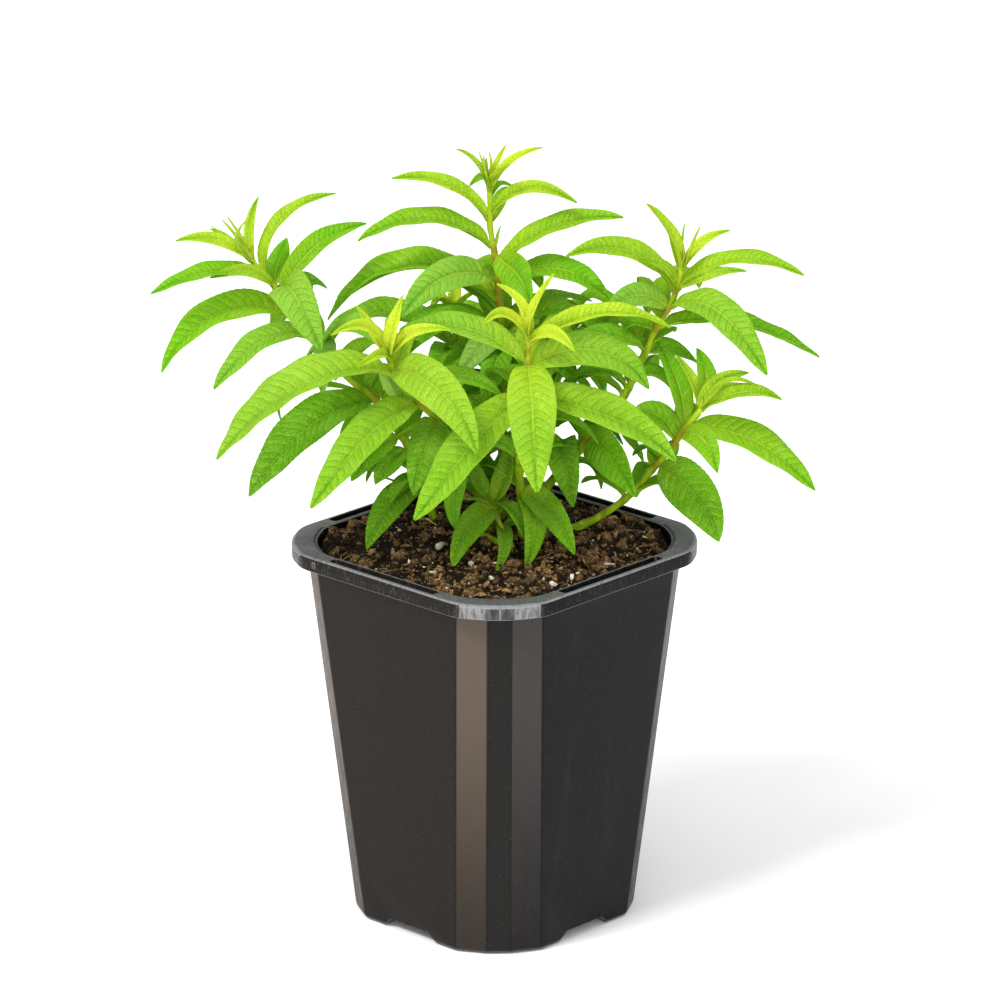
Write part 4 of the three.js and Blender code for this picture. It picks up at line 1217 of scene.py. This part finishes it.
def lump(template, flat, rough, rng):
    """An irregular lump: a ball cut flat in a few places, then roughened."""
    points = template.copy()
    for _ in range(7):
        n = unit(rng.normal(size=3))
        over = np.maximum(points @ n - rng.uniform(0.45, 0.85), 0)
        points -= over[:, None] * n
    points *= 1 + rough * rng.normal(size=(len(points), 1))
    return points * (1.0, rng.uniform(0.6, 0.95), flat)


def scatter(rng, count, margin):
    out = []
    while len(out) < count:
        x, y = rng.uniform(-58, 58, 2)
        if inside_pot(x, y, margin):
            out.append((x, y))
    return np.array(out)


def clod(x, y, seed, size, reach, least, spread):
    """The height of the round crumb that a point lies on, from 0 between the crumbs."""
    far, cells = noise.voronoi(Vector((x / size, y / size, seed)))
    return max(0.0, 1 - (far[0] / reach) ** 2) * (least + spread * noise.cell(cells[0] * 9.0))


def ground(points):
    """The loose surface at points (x, y): its height, and how far each stands out of the hollows."""
    base = mix_height(points[:, 0], points[:, 1]) + heap(points[:, 0], points[:, 1])
    high, out = np.empty(len(points)), np.empty(len(points))
    for k, (x, y) in enumerate(points):
        bent = 0.8 * noise.noise(Vector((x / 3, y / 3, 1.0)))
        big = clod(x + bent, y - bent, 0.3, 4.6, 0.62, 0.2, 1.4)
        small = clod(x - bent, y + bent, 5.1, 1.9, 0.6, 0.3, 1.1)
        grit = noise.fractal(Vector((x * 1.3, y * 1.3, 2.0)), 0.7, 2.1, 3)
        slow = noise.noise(Vector((x / 13, y / 13, 7.0)))
        high[k] = base[k] + 0.5 + 2.0 * big + 1.0 * small + 0.3 * grit + 0.9 * slow
        out[k] = 0.45 * big + 0.5 * small + 0.15 * grit
    return high, out


def make_bed(material):
    """The loose surface as one closed skin: rings from the middle to the pot's wall, then a base."""
    edge = outline(POT["lip"] - 0.5, 3.0, shrink=0.95)
    around = np.vstack([edge, edge[:1]])
    way = np.r_[0, np.cumsum(np.linalg.norm(np.diff(around, axis=0), axis=1))]
    count, rings = BED["around"], BED["rings"]
    at = np.linspace(0, way[-1], count, endpoint=False)
    edge = np.stack([np.interp(at, way, around[:, k]) for k in (0, 1)], 1)
    share = np.linspace(0.012, 0.993, rings) ** 0.8
    high, out = ground((edge[None] * share[:, None, None]).reshape(-1, 2))
    high = high.reshape(rings, count)
    high[-2:] = np.minimum(high[-2:], heap(edge[:, 0], edge[:, 1]) + MIX["edge"] + 0.4)
    skin = [np.column_stack([edge * share[k], high[k]]) for k in range(rings)]
    base = MIX["edge"] - BED["below"]
    skin += [level(edge * share[-1], base), level(edge * share[0], base - 0.2)]
    points, faces = loft(skin[::-1])
    out = np.concatenate([np.zeros(2 * count), out.reshape(rings, count)[::-1].ravel()])
    add_piece("mix_loose", points, faces, material, {"stands_out": out})


# Kinds of grains. ball: how fine its mesh is. sizes: radius. sink: how high its middle lies, in radii.
# rare: the higher, the fewer grains have the light shade. Below, each kind comes after its count and the
# margin that it keeps from the pot's wall.
Grain = namedtuple("Grain", "ball sizes flat rough stretch sink rare")
CRUMBS = [(1900, 1.0, Grain(1, (0.35, 0.95), (0.5, 0.9), 0.12, (1, 1, 1), 0.1, 1.2)),
          (330, 2.5, Grain(2, (1.0, 2.6), (0.5, 0.9), 0.15, (1.15, 0.85, 1), 0.1, 1.4))]
BARK = [(300, 2.0, Grain(1, (0.4, 0.9), (0.3, 0.5), 0.08, (1.5, 0.85, 1.0), 0.3, 1.1)),
        (120, 2.6, Grain(2, (0.8, 1.7), (0.28, 0.5), 0.08, (1.5, 0.8, 1.0), 0.3, 1.6)),
        (22, 5.0, Grain(3, (1.7, 2.6), (0.25, 0.4), 0.05, (1.4, 0.8, 1.0), 0.35, 1.0))]
PERLITE = [(90, 3.0, Grain(2, (0.3, 0.8), (0.6, 0.9), 0.07, (1.25, 0.85, 1.0), 0.6, 1.0))]
BIG_BARK = Grain(3, None, (0.25, 0.4), 0.03, (1.0, 0.7, 1.0), 0.35, 0.4)
BIG_PERLITE = Grain(3, None, (0.6, 0.9), 0.04, (1.1, 0.8, 1.0), 0.95, 1.0)
# Large grains that lie in sight: x, y, radius.
PERLITE_IN_SIGHT = [
    (-29, -4, 0.96), (-28, -14, 1.44), (-18, -6, 2.16), (-8, -19, 1.68), (-21, -27, 1.44), (-2, -34, 1.08),
    (18, -38, 1.44), (24, -33, 1.44), (37, -20, 1.92), (41, 32, 1.8), (39, 13, 0.84), (18, -10, 0.84),
    (0, -25, 0.72), (-33, 22, 1.44), (20, 34, 1.56), (-12, 36, 1.2), (4, 30, 1.08)]
BARK_IN_SIGHT = [
    (-19, 26, 2.4), (17, -21, 2.7), (44, 16, 2.0), (-48, -4, 2.0), (-46, 9, 1.4), (-39, -11, 1.0),
    (8, -41, 1.4), (-7, -27, 1.0), (-15, -24, 1.2), (-31, 8, 1.4), (35, -12, 3.6), (0, -40, 1.6),
    (30, 26, 2.2), (-28, 30, 1.9)]
FIBRES = {"count": 70, "margin": 6.0, "length": (4, 10), "radius": (0.12, 0.28), "bow": 0.25, "sides": 6}


def strew(pile, spots, kind, rng):
    """Grains lying on the mix's surface, each turned its own way."""
    template, faces = ball(kind.ball)
    for (x, y), z in zip(spots, ground(spots)[0]):
        size = rng.uniform(*kind.sizes)
        shape = lump(template, rng.uniform(*kind.flat), kind.rough, rng) * kind.stretch * size
        lean, spin = rng.uniform(0.1, 0.6), rng.uniform(0, 2 * math.pi)
        c, s = math.cos(spin), math.sin(spin)
        tilted = any_turn(rng) * lean + np.array([[c, -s, 0], [s, c, 0], [0, 0, 1]]) * (1 - lean)
        data = {"grain": np.full(len(shape), rng.uniform() ** kind.rare), "grain_at": shape + (x, y, z)}
        pile.add(shape @ tilted.T + (x, y, z + kind.sink * size), faces, data)


def make_grains(name, material, kinds, rng, big=None, in_sight=()):
    pile = Pile()
    for count, margin, kind in kinds:
        strew(pile, scatter(rng, count, margin), kind, rng)
    for x, y, radius in in_sight:
        strew(pile, np.array([(x, y)]), big._replace(sizes=(radius, radius)), rng)
    pile.piece(name, material, "potting_mix", smooth=False)


def make_fibres(material, rng):
    fibres = Pile()
    for spot in scatter(rng, FIBRES["count"], FIBRES["margin"]):
        aim, length = rng.uniform(0, 2 * math.pi), rng.uniform(*FIBRES["length"])
        t = np.linspace(-0.5, 0.5, 9)
        bow = rng.uniform(-FIBRES["bow"], FIBRES["bow"]) * (t * t * 4 - 1)
        c, s = math.cos(aim), math.sin(aim)
        flat = np.stack([t * c - bow * s, t * s + bow * c], 1) * length + spot
        high = ground(flat)[0]
        high = 0.4 * high + 0.6 * high.max() + 0.1
        line = np.column_stack([flat, high + rng.uniform(-0.5, 1.6) * t])
        radii = rng.uniform(*FIBRES["radius"]) * (1 - 0.6 * np.abs(t))
        points, faces = tube(line, radii, FIBRES["sides"])
        shade = np.full(len(points), rng.uniform(0.3, 1))
        fibres.add(points, faces, {"grain": shade, "grain_at": points})
    fibres.piece("mix_fibres", material, "potting_mix")


def make_mix(materials):
    rng = np.random.default_rng(7)
    make_bed(materials["loose"])
    make_grains("mix_crumbs", materials["crumb"], CRUMBS, rng)
    make_grains("mix_bark", materials["bark"], BARK, rng, BIG_BARK, BARK_IN_SIGHT)
    make_grains("mix_perlite", materials["perlite"], PERLITE, rng, BIG_PERLITE, PERLITE_IN_SIGHT)
    make_fibres(materials["bark"], rng)
    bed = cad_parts["potting_mix"]
    bed.data.materials.clear()
    bed.data.materials.append(materials["bed"])


# ---- the plant ----

NEEDLES = {"count": 6, "length": 6.5, "shorter": 0.6, "width": 1.2, "wider": 0.07, "fold": 25, "age": 0.06}
SEEDS = {"shoot": 100, "leaves": 1000, "small": 3000, "inner": 5000, "step": 40}
GLOSSY_FROM = 0.65  # age from which a big leaf is a glossy low one


def needles(line, rng):
    """The needle-like leaves that stand round a growing tip: where each starts, and its blade."""
    rows = []
    way = unit(0.55 * unit(line[-1] - line[-8]) + np.array([0, 0, 0.45]))
    across = unit(np.cross(way, [0.3, 1.0, 0.0]))
    over = np.cross(way, across)
    for k in range(NEEDLES["count"]):
        turn = k * 2.4 + rng.uniform(-0.3, 0.3)
        lean = math.radians(4 + 5 * k + rng.uniform(-3, 3))
        out = across * math.cos(turn) + over * math.sin(turn)
        length = NEEDLES["length"] - NEEDLES["shorter"] * k + rng.uniform(-0.8, 0.6)
        base = line[-1 - k // 2]
        aim = way * math.cos(lean) + out * math.sin(lean)
        crest, tip = base + (aim * 0.5 - out * 0.04) * length, base + aim * length
        width = NEEDLES["width"] + NEEDLES["wider"] * k
        rows.append((base, Blade(base[2], crest, tip, width, NEEDLES["fold"], 0, NEEDLES["age"])))
    return rows


def make_stem(name, parts, line, length, joints, big, material, rng):
    """The stem with its swollen joints, red where big leaves sit, and its side twigs."""
    radius, fade = parts["radius"], parts["fade"]
    at = np.arange(len(line))
    share = at / (len(line) - 1)
    swell, red = np.zeros(len(line)), np.zeros(len(line))
    for i in joints:
        far = (at - i) * length / len(line)
        swell = np.maximum(swell, STEM["swell"] * np.exp(-((far + 0.6) / 1.6) ** 2))
        if i in big:
            red = np.maximum(red, np.exp(-((far + 0.8) / 2.0) ** 2))
    radii = (radius[0] + (radius[1] - radius[0]) * share ** 1.5) + swell * (1 - 0.4 * share)
    radii[-3:] *= np.array([0.9, 0.7, 0.35])
    red = red * parts["ruddy"] * (0.35 + 0.65 * smoothstep(0.15, 0.6, share))
    red = red * (1 - 0.85 * smoothstep(fade, fade + 0.07, share))
    kind = np.stack([red, share * parts["lush"], 0 * share], 1)
    wood = Pile()
    points, faces = tube(line, radii, STEM["sides"], STEM["rib"], rng.uniform(0, 6))
    wood.add(points, faces, {"stem_kind": np.repeat(kind, STEM["sides"], axis=0)})
    for bends, thick in parts["twigs"]:
        twig, _ = stem_line(bends, TWIG["points"])
        radii = thick * np.linspace(TWIG["from"], TWIG["to"], len(twig))
        points, faces = tube(twig, radii, TWIG["sides"])
        wood.add(points, faces, {"stem_kind": np.tile(TWIG["kind"], (len(points), 1))})
    made = wood.piece(f"{name}_stem_grown", material, "stem")
    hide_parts(f"{name}_stem")


def make_shoot(name, parts, materials, number):
    parts = {**PLAIN, **parts}
    line, length = stem_line(parts["stem"], STEM["points"])
    rng = np.random.default_rng(SEEDS["shoot"] + number)
    joints, low = [], name == "basal"

    def grown(kind, k, blade, fine):
        """The shell of a leaf on this stem, from random numbers of its own."""
        base, i = leaf_base(line, parts["radius"], blade)
        joints.append(i)
        return leaf(base, blade, np.random.default_rng(SEEDS[kind] + SEEDS["step"] * number + k), fine)

    fine = MESH["rear" if name.startswith("rear") else "big"]
    for k, row in enumerate(parts["leaves"]):
        blade = Blade(*row)
        points, faces, data = grown("leaves", k, blade, fine)
        skin = materials["low_leaf" if low or blade.age > GLOSSY_FROM else "leaf"]
        made = add_piece(f"{name}_blade_{k + 1}", points, faces, skin, data)
        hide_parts(f"{name}_leaf_{k + 1}")
    big = list(joints)
    small, inner = Pile(), Pile()
    for k, row in enumerate(parts["small"]):
        small.add(*grown("small", k, Blade(*row), MESH["small"]))
    if parts["bud"]:
        for base, blade in needles(line, rng):
            small.add(*leaf(base, blade, rng, MESH["small"]))
    small.piece(f"{name}_small_leaves", materials["low_leaf" if low else "leaf"], "leaf")
    for k, row in enumerate(parts["inner"]):
        inner.add(*grown("inner", k, inner_blade(line, *row, rng), MESH["inner"]))
    inner.piece(f"{name}_inner_leaves", materials["leaf"], "leaf")
    make_stem(name, parts, line, length, joints, big, materials["stem"], rng)


materials = {
    "leaf": leaf_material("leaf_blade", LEAF_LOOK),
    "low_leaf": leaf_material("leaf_blade_glossy", LOW_LEAF_LOOK),
    "stem": stem_material(),
    "pot": pot_material(),
    "crumb": grain_material("mix_crumb", CRUMB_PAINT, 0.7),
    "bark": grain_material("mix_bark_chip", BARK_PAINT, 0.6),
    "perlite": grain_material("mix_perlite_grain", PERLITE_PAINT, 0.7),
    "loose": bed_material("mix_loose_grit"),
    "bed": bed_material("mix_bed"),
}
make_pot(materials["pot"])
make_mix(materials)
for number, (name, parts) in enumerate(SHOOTS.items()):
    make_shoot(name, parts, materials, number)

# ---- studio, in metres ----

FLOOR = {"half": 8, "height": -0.0002}
AIR = 0.82  # strength of the white light from all round
# Wide soft lights: azimuth, elevation, strength and angle. Azimuth 0 shines from the viewer's side, and
# 90 from the right.
SUNS = {"key": (-48, 52, 2.1, 15), "top": (20, 78, 0.4, 60), "front": (6, 13, 1.5, 50)}
# The camera stands where the photograph was taken from: its height angle, its turn from the pot's front
# corner, its distance and the point that it looks at.
LOOK = {"elevation": math.radians(18.7), "turn": math.radians(1.6), "distance": 2.205, "right": 0.0018,
        "height": 0.1413, "focal_px": 6745, "frame_px": 1000, "sensor": 36, "clip": (0.1, 60)}


def aimed(obj, direction):
    obj.rotation_mode = "QUATERNION"
    obj.rotation_quaternion = direction.to_track_quat("-Z", "Y")


def make_floor():
    half, height = FLOOR["half"], FLOOR["height"]
    mesh = bpy.data.meshes.new("studio_floor")
    corners = [(x * half, y * half, height) for x, y in ((-1, -1), (1, -1), (1, 1), (-1, 1))]
    mesh.from_pydata(corners, [], [(0, 1, 2, 3)])
    mesh.materials.append(floor_material())
    floor = placed("studio_floor", mesh)


def make_light():
    world = bpy.data.worlds.new("studio_air")
    world.use_nodes = True
    air = world.node_tree.nodes["Background"].inputs
    air["Color"].default_value, air["Strength"].default_value = (1.0, 1.0, 1.0, 1.0), AIR
    bpy.context.scene.world = world
    for name, (azimuth, elevation, strength, angle) in SUNS.items():
        data = bpy.data.lights.new(name, "SUN")
        data.energy, data.angle = strength, math.radians(angle)
        a, e = math.radians(azimuth), math.radians(elevation)
        toward = Vector((math.sin(a) * math.cos(e), -math.cos(a) * math.cos(e), math.sin(e)))
        aimed(placed(name, data), -toward)


def make_camera():
    data = bpy.data.cameras.new("camera")
    data.sensor_width = LOOK["sensor"]
    data.lens = LOOK["sensor"] * LOOK["focal_px"] / LOOK["frame_px"]
    data.clip_start, data.clip_end = LOOK["clip"]
    camera = placed("camera", data)
    c, s = math.cos(LOOK["turn"]), math.sin(LOOK["turn"])
    away, above = (LOOK["distance"] * f(LOOK["elevation"]) for f in (math.cos, math.sin))
    target = Vector((LOOK["right"] * c, -LOOK["right"] * s, LOOK["height"]))
    camera.location = target + Vector((-away * s, -away * c, above))
    aimed(camera, target - camera.location)
    bpy.context.scene.camera = camera


make_floor()
make_light()
make_camera()
view = bpy.context.scene.view_settings
view.view_transform, view.look, view.exposure = "Standard", "None", 0.0
